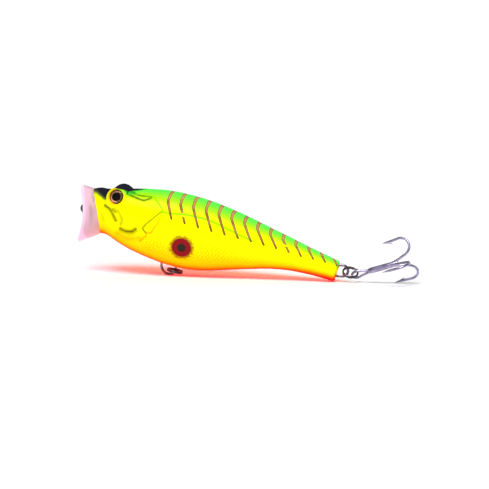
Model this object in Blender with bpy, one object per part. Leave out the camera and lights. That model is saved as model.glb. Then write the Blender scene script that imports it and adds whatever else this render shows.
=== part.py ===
"""Topwater popper: a hard-bodied surface fishing lure with a cupped mouth.

The lure lies along X with its mouth at -X and its treble hook at +X, its back up (+Z), and its
left side at -Y. The origin is on the surface it lies on, under the middle of its overall box.
All sizes below are in millimetres, and MM turns them into Blender's metres.
"""
import math

import bmesh
import bpy
from mathutils import Matrix, Vector

MM = 0.001
GAP = 0.3                       # clearance between pieces that touch on the real lure
SEAM = 0.3                      # gap between the two half shells at the mid plane
WALL = 1.4                      # moulded wall of the half shells

# Outline of the body: back point (x, z), belly point (x, z), half width, and the superellipse
# power of its back, which is boxy over the eyes and rounder behind them. Each line is one
# cross-section; the first is the slanted mouth joint, the last the tail face.
STATIONS = (
    (-45.2, 24.15, -43.0, 11.45, 5.9, 2.4),
    (-43.4, 24.40, -41.8, 11.25, 6.2, 2.6),
    (-41.2, 24.05, -40.2, 10.48, 6.6, 3.0),
    (-38.0, 24.15, -37.6, 8.80, 7.2, 3.5),
    (-34.0, 24.38, -34.0, 6.90, 7.7, 3.0),
    (-29.0, 24.55, -29.0, 4.85, 8.0, 2.5),
    (-23.2, 24.32, -23.2, 3.00, 8.1, 2.3),
    (-17.4, 23.35, -17.4, 1.95, 8.0, 2.3),
    (-11.6, 21.90, -11.6, 1.85, 7.6, 2.3),
    (-5.7, 19.85, -5.7, 2.30, 6.95, 2.3),
    (0.1, 17.50, 0.1, 2.75, 6.15, 2.3),
    (6.0, 14.85, 6.0, 3.05, 5.2, 2.3),
    (11.8, 12.30, 11.7, 2.80, 4.3, 2.3),
    (17.7, 9.60, 17.2, 1.95, 3.5, 2.4),
    (23.2, 7.25, 22.2, 0.80, 2.95, 2.5),
    (26.3, 5.90, 24.7, 0.05, 2.6, 2.5),
)
STEPS = 3                       # rings made between two stations
ARC = 12                        # facets from back to belly on one side
SQUARE_BELLY = 2.1              # superellipse power of the belly

BROW = (-38.4, 4.7, 0.95, 1.8, 2.0)    # brow over each eye: x, |y|, height, reach in x, reach in y

FRONT_RADIUS = 18.0             # the head's front face is this round, seen from above

EYE = (-37.75, 5.7, 22.7)       # eye centre on the left side, with y mirrored on the right
EYE_RADIUS = 2.05
EYE_TOE_IN = math.radians(12)   # each eye looks a little forward
EYE_LIFT = math.radians(16)     # and a little up
SOCKET_RADIUS = 2.4
SOCKET_DEPTH = 1.25
SOCKET_CUT = 4.0                # the socket's cut starts this far outside
FOIL_THICK = 0.3
LENS_RISE = 0.75
LENS_EDGE = -0.15               # where the lens's dome starts, from the eye's centre
LENS_GAP = 0.1
LENS_STEP = math.radians(17)    # the dome's rings lie this far apart, as angles of an ellipse
LENS_RINGS = 5

RIM_TOP = (-48.7, 25.1)         # mouth cup's rim, back and belly points
RIM_BOTTOM = (-49.65, 8.6)
RIM_HALF_WIDTH = 7.4
RIM_SCOOP = 1.95                # how far the rim's sides are set back
JOINT_SCOOP = 1.4               # and those of the cup's back edge, before it is cut to the head
CUP_WALL = 1.1
CUP_FLARE = 1.25                # power of the cup's widening from the head to the rim
CHIN_FLARE = 0.85               # and of its lower edge's way down
CUP_RINGS = 6
CUP_POWER = 2.2                 # superellipse power of the cup's outline
SPIGOT_RADIUS = 3.2             # round plug on the back of the cup, set into the head
SPIGOT_FRONT = -44.9
SPIGOT_BACK = -41.2
POCKET_FRONT = -46.0            # the spigot's pocket is cut from ahead of the head
DISH_FLOOR = 1.0                # thickness behind the dish
DISH_STEPS = ((0.45, 0.96), (0.78, 0.90), (0.95, 0.78), (1.0, 0.55))    # depth and spread

WIRE = 0.38                     # radius of the hanger and line-tie wire
WIRE_SIDES = 8
TIE_CENTRE = (-47.8, 18.3)      # line-tie eye, in the mid plane
TIE_RADIUS = 1.1
TIE_TAIL = -37.0
TIE_HOOK = ((0.0, 0.0), (0.8, -0.5), (0.9, -1.8))   # hooked end of its shank, x and z from TIE_TAIL

# Belly hanger's wire: a loop below the belly, between kinked legs inside it
BELLY_KNOTS = ((-27.4, 8.0), (-25.9, 7.0), (-25.35, 5.0), (-25.3, 2.6), (-24.75, 1.15), (-23.3, 0.42),
               (-21.75, 0.8), (-21.15, 2.2), (-21.1, 5.0), (-20.6, 7.0), (-19.9, 8.4))
BELLY_PIVOT = (-23.35, 1.75)    # where the belly ring hangs in its hanger
TAIL_LOOP = (27.15, 3.3, 1.6)   # tail hanger's bend: x, z and centreline radius
TAIL_ANCHOR = 21.4
TAIL_HOOK = (0.6, 0.75)         # its legs turn in at their ends: length and height from the middle

RING_RADIUS = 2.0               # split rings, to the middle of the wire
RING_WIRE = 0.4
RING_SIDES = 10
RING_STEPS = 28
BELLY_RING_PITCH = math.radians(12)     # its rear edge lies this much lower
TAIL_PIVOT = (28.5, 3.3)        # upright axis that the tail ring swings on
TAIL_RING_CENTRE = (29.45, 2.9)
TAIL_RING_PITCH = math.radians(14)      # its rear edge lies lower
TAIL_RING_ROLL = math.radians(30)       # and so does its left edge

HOOK_PITCH = math.radians(18)
HOOK_YAW = math.radians(-4)
HOOK_ROLL = math.radians(17)
HOOK_TWIST = math.radians(38)   # how far the first hook is turned from the plane of the eye
HOOK_WIRE = 0.36
HOOK_EYE = (1.5, 1.0)           # half length and half height of the treble's eye
EYE_FROM = -35                  # degrees of the eye's oval that the wire goes round
EYE_SWEEP = 325
EYE_STEPS = 14
NECK = ((1.0, -0.25), (1.8, 0.0))       # the wire's way from the eye into the shank
SHANK_END = 11.6
SHANK_RADIUS = 0.8
WIRE_END = 0.4                  # the eye's wire stops this far inside the shank's end
BRAZE_START = 3.8               # the wires are brazed into one shank from here to its end
BRAZE_ENDS = ((0.6, 0.45), (0.8, 0.5))      # taper at the shank's front and rear: length, radius
BEND_ROOT = ((-4.0, 0.42), (-1.0, 0.42))    # each hook's wire inside the shank, from its end
BEND_CENTRE = (14.0, 4.4)       # hook bend, along and out from the shank
BEND_RADIUS = 2.7
BEND_FROM = -64                 # degrees of the bend's arc, from the shank to the point
BEND_TO = 96
BEND_STEPS = 10
POINT_AT = (8.95, 6.85)
POINT_TAPER = ((0.62, 0.33), (0.8, 0.25), (0.93, 0.14), (1.0, 0.05))    # way to the point, radius
STRAIGHT = 0.35                 # the wire stays full up to here on that way
BARB_LINE = ((1.9, -0.25), (3.2, -1.0))     # the barb's root and tip, from the point
BARB_RADII = (0.26, 0.06)

CHANNEL_FRONT = (-8.9, 8.5)     # casting weight's travel, in the mid plane
CHANNEL_REAR = (8.1, 7.55)
CHANNEL_BALL = 2.75

RATTLE_X = (-32.8, -16.4)       # rattle capsule's ends
RATTLE_Z = 17.0
RATTLE_OUTER = 3.0
RATTLE_INNER = 2.3
RATTLE_CAP = 1.2
BEAD = 1.75

BELLY_BALLAST = (-19.2, -13.2, 6.2, 2.3)    # fixed weights: x from, x to, z, radius
TAIL_BALLAST = (13.0, 18.4, 5.95, 1.6)
SLUG_CHAMFER = 0.4

# Hollows between the moulded ribs: x from, x to, and the height of the hollow's floor, if raised
ROOMS = (
    (-34.6, -30.3, 9.6),
    (-29.3, -19.6, 9.6),
    (-18.6, -12.9, 9.6),
    (-12.0, -4.6, None),
    (-3.6, 3.0, None),
    (4.0, 11.3, None),
)
PINS = ((-38.6, 13.6), (-23.2, 6.0), (19.9, 6.0))    # locating pins, x and z
PIN_RADIUS = 0.5
PIN_ROOT = 1.0                  # a pin starts this far inside its own shell
PIN_LENGTH = 1.4

JOINT_REACH = 10.0              # half size of the blocks that cut the joint of head and cup
JOINT_STEPS = 16


def clear_scene():
    for obj in list(bpy.data.objects):
        bpy.data.objects.remove(obj, do_unlink=True)


def material(name, colour, roughness, metallic=0.0, transmission=0.0):
    mat = bpy.data.materials.new(name)
    mat.use_nodes = True
    shader = mat.node_tree.nodes["Principled BSDF"]
    shader.inputs["Base Color"].default_value = (*colour, 1.0)
    shader.inputs["Roughness"].default_value = roughness
    shader.inputs["Metallic"].default_value = metallic
    shader.inputs["Transmission Weight"].default_value = transmission
    mat.diffuse_color = (*colour, 1.0)
    return mat


# ---------------------------------------------------------------- meshes from rings and paths

def mesh_object(name, bm, mat=None, origin=(0.0, 0.0, 0.0), sharp=40):
    """Make an object from a mesh given in millimetres, with its origin at a point of the lure."""
    bmesh.ops.recalc_face_normals(bm, faces=bm.faces)
    centre = Vector(origin)
    for vert in bm.verts:
        vert.co = (vert.co - centre) * MM
    mesh = bpy.data.meshes.new(name)
    bm.to_mesh(mesh)
    bm.free()
    mesh.shade_smooth()
    mesh.set_sharp_from_angle(angle=math.radians(sharp))
    obj = bpy.data.objects.new(name, mesh)
    obj.location = centre * MM
    bpy.context.scene.collection.objects.link(obj)
    if mat:
        mesh.materials.append(mat)
    return obj


def loft(rings, closed=False):
    """Skin a row of rings that have equal numbers of points; cap both ends unless closed."""
    bm = bmesh.new()
    rows = [[bm.verts.new(point) for point in ring] for ring in rings]
    count = len(rows[0])
    pairs = list(zip(rows, rows[1:]))
    if closed:
        pairs.append((rows[-1], rows[0]))
    for first, second in pairs:
        for i in range(count):
            j = (i + 1) % count
            bm.faces.new((first[i], first[j], second[j], second[i]))
    if not closed:
        bm.faces.new(rows[0])
        bm.faces.new(rows[-1])
    return bm


def sweep(path, radii, sides=WIRE_SIDES, closed=False):
    """A round wire along a path, with one radius for the whole or one for each point."""
    points = [Vector(point) for point in path]
    if not hasattr(radii, "__len__"):
        radii = [radii] * len(points)
    count = len(points)
    tangents = []
    for i in range(count):
        before = points[i - 1] if (i or closed) else points[0]
        after = points[(i + 1) % count] if (i < count - 1 or closed) else points[-1]
        tangents.append((after - before).normalized())
    side = tangents[0].orthogonal().normalized()
    rings = []
    for point, tangent, radius in zip(points, tangents, radii):
        side = (side - tangent * side.dot(tangent)).normalized()
        other = tangent.cross(side)
        turns = [2 * math.pi * k / sides for k in range(sides)]
        rings.append([point + (side * math.cos(a) + other * math.sin(a)) * radius for a in turns])
    return loft(rings, closed)


def cylinder(start, end, radius, sides=24):
    return sweep([start, end], radius, sides)


def arc(centre, radius, start, end, steps, squash=1.0):
    """Points of an arc in the XZ plane, with angles in degrees from +X towards +Z."""
    points = []
    for i in range(steps + 1):
        angle = math.radians(start + (end - start) * i / steps)
        x = centre[0] + radius * math.cos(angle)
        z = centre[1] + radius * squash * math.sin(angle)
        points.append((x, 0.0, z))
    return points


def smooth_path(points, steps):
    """Catmull-Rom curve through a few points of any dimension."""
    result = []
    last = len(points) - 1
    for i in range(last):
        p0 = points[max(i - 1, 0)]
        p1 = points[i]
        p2 = points[i + 1]
        p3 = points[min(i + 2, last)]
        for k in range(steps):
            t = k / steps
            result.append(tuple(
                0.5 * (2 * b + (c - a) * t + (2 * a - 5 * b + 4 * c - d) * t * t
                       + (3 * b - a - 3 * c + d) * t ** 3)
                for a, b, c, d in zip(p0, p1, p2, p3)))
    result.append(tuple(points[last]))
    return result


def boolean(target, bm, operation, sharp=40):
    """Cut or join a solid into a target, and keep the result as the target's own mesh."""
    tool = mesh_object("tool", bm)
    modifier = target.modifiers.new("shape", "BOOLEAN")
    modifier.operation = operation
    modifier.solver = "EXACT"
    modifier.object = tool
    bpy.context.view_layer.update()
    graph = bpy.context.evaluated_depsgraph_get()
    mesh = bpy.data.meshes.new_from_object(target.evaluated_get(graph))
    target.modifiers.clear()
    target.data = mesh
    mesh.set_sharp_from_angle(angle=math.radians(sharp))
    bpy.data.objects.remove(tool, do_unlink=True)


def cut(target, bm):
    boolean(target, bm, "DIFFERENCE")


def join(target, bm):
    boolean(target, bm, "UNION")


# ---------------------------------------------------------------- body shells

def superellipse(angle, power):
    """Height and width of a boxy circle's point, with angle 0 at the top."""
    c = math.cos(angle)
    s = math.sin(angle)
    return math.copysign(abs(c) ** (2 / power), c), abs(s) ** (2 / power)


def brow_height(x, y, back):
    """How far the brow lifts the skin at a point; back is 1 on the ridge and 0 on the side."""
    along = (x - BROW[0]) / BROW[3]
    across = (abs(y) - BROW[1]) / BROW[4]
    return BROW[2] * math.exp(-along ** 2 - across ** 2) * max(back, 0.0)


def half_ring(station, side, inset=0.0, flat=0.0, brow=True):
    """One side's half of a cross-section, closed by a flat edge at |y| = flat."""
    top = Vector((station[0], 0.0, station[1]))
    bottom = Vector((station[2], 0.0, station[3]))
    centre = (top + bottom) / 2
    up = top - centre
    up -= up.normalized() * inset
    width = station[4] - inset
    points = []
    for i in range(ARC + 1):
        angle = math.pi * i / ARC
        power = station[5] if angle < math.pi / 2 else SQUARE_BELLY
        high, wide = superellipse(angle, power)
        wide = max(width * wide, flat)
        point = centre + up * high
        if brow:
            point.z += brow_height(point.x, wide, high)
        points.append(Vector((point.x, side * wide, point.z)))
    return points


def body_half(side):
    rings = [half_ring(s, side, flat=SEAM / 2) for s in smooth_path(STATIONS, STEPS)]
    return loft(rings)


def section_at(x):
    """Back height, belly height, half width and back power of the body at a place along it."""
    rows = smooth_path(STATIONS, 8)
    for first, second in zip(rows, rows[1:]):
        if first[0] <= x <= second[0]:
            t = (x - first[0]) / (second[0] - first[0])
            return [first[k] + (second[k] - first[k]) * t for k in (1, 3, 4, 5)]
    return [rows[-1][k] for k in (1, 3, 4, 5)]


def room(start, end, floor):
    """A hollow inside the body, across both half shells."""
    rings = []
    for i in range(4):
        x = start + (end - start) * i / 3
        top, bottom, width, power = section_at(x)
        top -= WALL
        bottom += WALL
        if floor is not None:
            bottom = max(bottom, floor)
        station = (x, top, x, bottom, width - WALL, power)
        right = half_ring(station, 1, brow=False)
        left = half_ring(station, -1, brow=False)
        rings.append(right + left[-2:0:-1])
    return loft(rings)


def eye_frame(side):
    """Centre and outward direction of an eye."""
    centre = Vector((EYE[0], side * EYE[1], EYE[2]))
    flat = Vector((-math.sin(EYE_TOE_IN), side * math.cos(EYE_TOE_IN), 0.0))
    out = flat * math.cos(EYE_LIFT) + Vector((0.0, 0.0, math.sin(EYE_LIFT)))
    return centre, out.normalized()


def belly_wire():
    """Centreline of the belly hanger."""
    return [(x, 0.0, z) for x, z in smooth_path(BELLY_KNOTS, 3)]


def tail_wire():
    """Centreline of the tail hanger: a U whose legs are hooked over inside the tail."""
    x, z, radius = TAIL_LOOP
    end, rise = TAIL_HOOK
    upper = [(TAIL_ANCHOR, 0.0, z + rise), (TAIL_ANCHOR + end, 0.0, z + radius)]
    lower = [(TAIL_ANCHOR + end, 0.0, z - radius), (TAIL_ANCHOR, 0.0, z - rise)]
    return upper + arc((x, z), radius, 90, -90, 10) + lower


def tie_wire():
    """Centreline of the line tie: an eye in front, a shank, and a small hook at its end."""
    x, z = TIE_CENTRE
    eye = arc((x, z), TIE_RADIUS, 318, -40, 16)
    start = (x + TIE_RADIUS * 1.9, 0.0, z)
    end = [(TIE_TAIL + dx, 0.0, z + dz) for dx, dz in TIE_HOOK]
    return eye[:-1] + [start] + end


def joint_block(shift, depth):
    """A block with one face on the head's round front, moved back by shift, and a flat face
    at a depth behind it, or in front of it when depth is negative."""
    top = Vector((STATIONS[0][0], 0.0, STATIONS[0][1]))
    bottom = Vector((STATIONS[0][2], 0.0, STATIONS[0][3]))
    up = (top - bottom).normalized()
    back = Vector((up.z, 0.0, -up.x))
    middle = (top + bottom) / 2 + back * shift
    outline = [(depth, -JOINT_REACH), (depth, JOINT_REACH)]
    for i in range(JOINT_STEPS + 1):
        y = JOINT_REACH * (1 - 2 * i / JOINT_STEPS)
        outline.append((FRONT_RADIUS - math.sqrt(FRONT_RADIUS ** 2 - y ** 2), y))
    rings = []
    for height in (-2 * JOINT_REACH, 2 * JOINT_REACH):
        rings.append([middle + up * height + back * n + Vector((0.0, y, 0.0)) for n, y in outline])
    return loft(rings)


def shells(mats):
    for name, side in (("body_shell_left", -1), ("body_shell_right", 1)):
        shell = mesh_object(name, body_half(side), mats["skin"])
        cut(shell, joint_block(0.0, -JOINT_REACH))
        for start, end, floor in ROOMS:
            cut(shell, room(start, end, floor))
        front = Vector((CHANNEL_FRONT[0], 0.0, CHANNEL_FRONT[1]))
        rear = Vector((CHANNEL_REAR[0], 0.0, CHANNEL_REAR[1]))
        cut(shell, cylinder(front, rear, CHANNEL_BALL + GAP))
        cut(shell, cylinder((RATTLE_X[0] - GAP, 0, RATTLE_Z), (RATTLE_X[1] + GAP, 0, RATTLE_Z),
                            RATTLE_OUTER + GAP))
        for x0, x1, z, radius in (BELLY_BALLAST, TAIL_BALLAST):
            cut(shell, cylinder((x0 - GAP, 0, z), (x1 + GAP, 0, z), radius + GAP))
        for path in (belly_wire(), tail_wire()):
            cut(shell, sweep(path, WIRE + GAP))
        cut(shell, cylinder((POCKET_FRONT, 0, TIE_CENTRE[1]), (SPIGOT_BACK + GAP, 0, TIE_CENTRE[1]),
                            SPIGOT_RADIUS + GAP))
        cut(shell, sweep(tie_wire()[-4:], WIRE + GAP))
        centre, out = eye_frame(side)
        cut(shell, cylinder(centre - out * SOCKET_DEPTH, centre + out * SOCKET_CUT, SOCKET_RADIUS))
        for x, z in PINS:
            if side < 0:
                join(shell, cylinder((x, -PIN_ROOT, z), (x, PIN_LENGTH, z), PIN_RADIUS, 12))
            else:
                cut(shell, cylinder((x, -PIN_ROOT, z), (x, PIN_LENGTH + GAP, z), PIN_RADIUS + GAP,
                                    12))


# ---------------------------------------------------------------- mouth cup

def full_ring(top, bottom, width, scoop=0.0, inset=0.0, sides=28):
    """A whole cross-section ring between a back point and a belly point."""
    top = Vector((top[0], 0.0, top[1]))
    bottom = Vector((bottom[0], 0.0, bottom[1]))
    centre = (top + bottom) / 2
    up = top - centre
    up -= up.normalized() * inset
    points = []
    for i in range(sides):
        angle = 2 * math.pi * i / sides
        high, wide = superellipse(angle, CUP_POWER)
        wide = math.copysign(wide, math.sin(angle)) * (width - inset)
        point = centre + up * high
        point.x += scoop * math.sin(angle) ** 2
        points.append(Vector((point.x, wide, point.z)))
    return points


def blend(a, b, t):
    return tuple(p + (q - p) * t for p, q in zip(a, b))


def mouth_cup(mats):
    """A flared cup, made a little long at its back and cut to the head's round front."""
    front = STATIONS[0]
    back_top = (front[0], front[1])
    back_bottom = (front[2], front[3])
    outside = []
    for i in range(CUP_RINGS + 1):
        t = i / CUP_RINGS
        flare = t ** CUP_FLARE
        top = (back_top[0] + (RIM_TOP[0] - back_top[0]) * t,
               back_top[1] + (RIM_TOP[1] - back_top[1]) * flare)
        bottom = (back_bottom[0] + (RIM_BOTTOM[0] - back_bottom[0]) * t,
                  back_bottom[1] + (RIM_BOTTOM[1] - back_bottom[1]) * t ** CHIN_FLARE)
        width = front[4] + (RIM_HALF_WIDTH - front[4]) * flare
        outside.append(full_ring(top, bottom, width, JOINT_SCOOP + (RIM_SCOOP - JOINT_SCOOP) * t))
    rim = full_ring(RIM_TOP, RIM_BOTTOM, RIM_HALF_WIDTH, RIM_SCOOP, CUP_WALL)
    middle = (RIM_TOP[1] + RIM_BOTTOM[1]) / 2
    slope = (back_top[0] - back_bottom[0]) / (back_top[1] - back_bottom[1])
    inside = [rim]
    for depth, spread in DISH_STEPS:
        ring = []
        for point in rim:
            z = middle + (point.z - middle) * spread
            floor = back_bottom[0] + slope * (z - back_bottom[1]) - DISH_FLOOR
            ring.append(Vector((point.x + (floor - point.x) * depth, point.y * spread, z)))
        inside.append(ring)
    cup = mesh_object("mouth_cup", loft(outside + inside), mats["cup"])
    cut(cup, joint_block(-GAP, JOINT_REACH))
    z = TIE_CENTRE[1]
    join(cup, cylinder((SPIGOT_BACK, 0, z), (SPIGOT_FRONT, 0, z), SPIGOT_RADIUS))
    cut(cup, cylinder((RIM_BOTTOM[0], 0, z), (SPIGOT_BACK + GAP, 0, z), WIRE + GAP, 16))


# ---------------------------------------------------------------- eyes

def turned(name, profile, centre, out, mat, sides=28):
    """A round solid turned about an axis, from (height, radius) points below to above."""
    side = out.orthogonal().normalized()
    other = out.cross(side)
    rings = []
    for height, radius in profile:
        turns = [2 * math.pi * k / sides for k in range(sides)]
        base = centre + out * height
        rings.append([base + (side * math.cos(a) + other * math.sin(a)) * radius for a in turns])
    return mesh_object(name, loft(rings), mat, centre)


def eyes(mats):
    for name, side in (("left", -1), ("right", 1)):
        centre, out = eye_frame(side)
        floor = -SOCKET_DEPTH + GAP
        top = floor + FOIL_THICK
        turned(f"eye_foil_{name}", ((floor, EYE_RADIUS), (top, EYE_RADIUS)), centre, out,
               mats["foil"])
        profile = [(top + LENS_GAP, EYE_RADIUS), (LENS_EDGE, EYE_RADIUS)]
        for i in range(1, LENS_RINGS + 1):
            angle = LENS_STEP * i
            profile.append((LENS_EDGE + LENS_RISE * math.sin(angle), EYE_RADIUS * math.cos(angle)))
        turned(f"eye_lens_{name}", profile, centre, out, mats["lens"])


# ---------------------------------------------------------------- wires and rings

def hangers(mats):
    mesh_object("line_tie", sweep(tie_wire(), WIRE), mats["wire"])
    mesh_object("belly_hanger", sweep(belly_wire(), WIRE), mats["wire"])
    mesh_object("tail_hanger", sweep(tail_wire(), WIRE), mats["wire"])


def split_ring(name, centre, along, across, pivot, mat):
    """A split ring, in the plane of the two directions, with its origin on its joint's axis."""
    points = []
    for i in range(RING_STEPS):
        angle = 2 * math.pi * i / RING_STEPS
        points.append(centre + (along * math.cos(angle) + across * math.sin(angle)) * RING_RADIUS)
    return mesh_object(name, sweep(points, RING_WIRE, RING_SIDES, closed=True), mat, pivot)


def tail_ring_plane():
    """Two directions in the tail ring's plane: to its rear, and to its right side."""
    tilt = Matrix.Rotation(TAIL_RING_PITCH, 3, "Y") @ Matrix.Rotation(TAIL_RING_ROLL, 3, "X")
    return tilt @ Vector((1, 0, 0)), tilt @ Vector((0, 1, 0))


def split_rings(mats):
    pivot = Vector((BELLY_PIVOT[0], 0.0, BELLY_PIVOT[1]))
    back = Vector((math.cos(BELLY_RING_PITCH), 0.0, -math.sin(BELLY_RING_PITCH)))
    split_ring("belly_split_ring", pivot + back * RING_RADIUS, back, Vector((0, 1, 0)), pivot,
               mats["ring"])
    centre = Vector((TAIL_RING_CENTRE[0], 0.0, TAIL_RING_CENTRE[1]))
    pivot = Vector((TAIL_PIVOT[0], 0.0, TAIL_PIVOT[1]))
    along, across = tail_ring_plane()
    split_ring("tail_split_ring", centre, along, across, pivot, mats["ring"])


# ---------------------------------------------------------------- treble hook

def hook_eye_path():
    """The treble's oval eye and the start of its shank, in the hook's own frame."""
    length, height = HOOK_EYE
    oval = []
    for i in range(EYE_STEPS + 1):
        angle = math.radians(EYE_FROM + EYE_SWEEP * i / EYE_STEPS)
        oval.append((length * math.cos(angle), 0.0, height * math.sin(angle)))
    oval.reverse()
    neck = [(length + dx, 0.0, dz) for dx, dz in NECK]
    return oval + neck + [(SHANK_END - WIRE_END, 0.0, 0.0)]


def hook_bend_path(turn):
    """One hook, from inside the shank round its bend to its point, at an angle about the shank."""
    across, out = BEND_CENTRE
    flat = [(SHANK_END + x, r) for x, r in BEND_ROOT]
    for i in range(BEND_STEPS + 1):
        angle = math.radians(BEND_FROM + (BEND_TO - BEND_FROM) * i / BEND_STEPS)
        flat.append((across + BEND_RADIUS * math.cos(angle), out + BEND_RADIUS * math.sin(angle)))
    end = flat[-1]
    flat.append(blend(end, POINT_AT, STRAIGHT))
    radii = [HOOK_WIRE] * len(flat)
    for t, radius in POINT_TAPER:
        flat.append(blend(end, POINT_AT, t))
        radii.append(radius)
    cos_turn = math.cos(turn)
    sin_turn = math.sin(turn)
    path = [(x, r * sin_turn, r * cos_turn) for x, r in flat]
    return path, radii


def barb(turn):
    """The small raised cut near a hook's point."""
    line = [(POINT_AT[0] + dx, POINT_AT[1] + dr) for dx, dr in BARB_LINE]
    path = [(x, r * math.sin(turn), r * math.cos(turn)) for x, r in line]
    return sweep(path, BARB_RADII, 6)


def treble(mats):
    hook = mesh_object("treble_hook", sweep(hook_eye_path(), HOOK_WIRE), mats["hook"])
    front, rear = BRAZE_ENDS
    stops = (BRAZE_START, BRAZE_START + front[0], SHANK_END - rear[0], SHANK_END)
    braze = [(x, 0.0, 0.0) for x in stops]
    join(hook, sweep(braze, (front[1], SHANK_RADIUS, SHANK_RADIUS, rear[1]), 12))
    for k in range(3):
        turn = HOOK_TWIST + 2 * math.pi * k / 3
        path, radii = hook_bend_path(turn)
        join(hook, sweep(path, radii))
        join(hook, barb(turn))
    place = Matrix.Rotation(HOOK_YAW, 4, "Z") @ Matrix.Rotation(-HOOK_PITCH, 4, "Y")
    hook.data.transform(place @ Matrix.Rotation(HOOK_ROLL, 4, "X"))
    centre = Vector((TAIL_RING_CENTRE[0], 0.0, TAIL_RING_CENTRE[1]))
    hook.location = (centre + tail_ring_plane()[0] * RING_RADIUS) * MM


# ---------------------------------------------------------------- weights and rattle

def ball(name, centre, radius, mat, sides=20):
    bm = bmesh.new()
    bmesh.ops.create_uvsphere(bm, u_segments=sides, v_segments=sides // 2, radius=radius)
    bmesh.ops.translate(bm, verts=bm.verts, vec=centre)
    return mesh_object(name, bm, mat, centre)


def inner_pieces(mats):
    ball("casting_weight", (CHANNEL_REAR[0], 0.0, CHANNEL_REAR[1]), CHANNEL_BALL, mats["steel"], 24)
    for name, row in (("belly_ballast", BELLY_BALLAST), ("tail_ballast", TAIL_BALLAST)):
        x0, x1, z, radius = row
        slug = ((x0, 0, z), (x0 + SLUG_CHAMFER, 0, z), (x1 - SLUG_CHAMFER, 0, z), (x1, 0, z))
        end = radius - SLUG_CHAMFER
        mesh_object(name, sweep(slug, (end, radius, radius, end), 20), mats["lead"])
    x0, x1 = RATTLE_X
    tube = mesh_object("rattle_tube", cylinder((x0, 0, RATTLE_Z), (x1, 0, RATTLE_Z), RATTLE_OUTER),
                       mats["tube"])
    cut(tube, cylinder((x0 - 1, 0, RATTLE_Z), (x1 + 1, 0, RATTLE_Z), RATTLE_INNER))
    for name, x, into in (("rattle_plug_front", x0, 1), ("rattle_plug_rear", x1, -1)):
        mesh_object(name, cylinder((x, 0, RATTLE_Z), (x + into * RATTLE_CAP, 0, RATTLE_Z),
                                   RATTLE_INNER - GAP, 20), mats["plug"])
    middle = (x0 + x1) / 2
    for k in (-1, 0, 1):
        x = middle + k * (2 * BEAD + GAP)
        ball(f"rattle_bead_{k + 2}", (x, 0.0, RATTLE_Z), BEAD, mats["steel"])


def build():
    clear_scene()
    mats = {
        "skin": material("painted_body", (0.75, 0.85, 0.05), 0.25),
        "cup": material("cup_plastic", (0.85, 0.68, 0.75), 0.2, transmission=0.4),
        "foil": material("eye_foil", (0.55, 0.30, 0.10), 0.3, 0.7),
        "lens": material("eye_lens", (0.08, 0.05, 0.03), 0.05, transmission=0.6),
        "wire": material("hanger_wire", (0.35, 0.34, 0.36), 0.3, 1.0),
        "ring": material("split_ring_steel", (0.30, 0.29, 0.31), 0.3, 1.0),
        "hook": material("hook_steel", (0.55, 0.53, 0.57), 0.25, 1.0),
        "steel": material("ball_steel", (0.6, 0.6, 0.62), 0.2, 1.0),
        "lead": material("ballast_lead", (0.25, 0.25, 0.27), 0.6, 1.0),
        "tube": material("rattle_aluminium", (0.7, 0.7, 0.72), 0.35, 1.0),
        "plug": material("rattle_plug_plastic", (0.8, 0.8, 0.8), 0.5),
    }
    shells(mats)
    mouth_cup(mats)
    eyes(mats)
    hangers(mats)
    split_rings(mats)
    treble(mats)
    inner_pieces(mats)


build()
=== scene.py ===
"""Looks of the topwater popper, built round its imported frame.

Lengths in the tables below are millimetres in the frame of the part: +X from mouth to hook,
+Z up, and the left side at -Y. MM turns them into Blender's metres.
"""
import math

import bmesh
import bpy
import numpy as np
from mathutils import Matrix, Vector


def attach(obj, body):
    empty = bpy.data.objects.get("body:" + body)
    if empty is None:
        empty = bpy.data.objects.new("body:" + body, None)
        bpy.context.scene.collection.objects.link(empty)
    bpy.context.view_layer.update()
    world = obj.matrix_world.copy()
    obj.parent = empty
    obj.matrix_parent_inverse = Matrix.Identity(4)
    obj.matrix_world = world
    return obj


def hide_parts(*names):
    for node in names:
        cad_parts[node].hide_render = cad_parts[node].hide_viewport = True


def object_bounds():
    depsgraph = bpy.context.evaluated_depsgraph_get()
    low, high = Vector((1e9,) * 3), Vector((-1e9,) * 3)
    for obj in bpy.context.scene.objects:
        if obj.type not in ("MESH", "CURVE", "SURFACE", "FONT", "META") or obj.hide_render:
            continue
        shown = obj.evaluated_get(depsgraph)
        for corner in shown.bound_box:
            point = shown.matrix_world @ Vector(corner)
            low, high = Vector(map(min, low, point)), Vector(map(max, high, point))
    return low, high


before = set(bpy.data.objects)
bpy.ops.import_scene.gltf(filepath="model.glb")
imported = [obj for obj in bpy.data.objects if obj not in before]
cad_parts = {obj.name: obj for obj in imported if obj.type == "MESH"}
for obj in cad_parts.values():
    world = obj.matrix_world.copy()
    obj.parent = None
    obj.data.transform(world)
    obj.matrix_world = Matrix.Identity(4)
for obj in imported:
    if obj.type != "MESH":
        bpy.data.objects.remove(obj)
CAD_BOX = [list(corner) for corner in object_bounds()]

MM = 0.001

# ---- the body's surface

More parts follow.
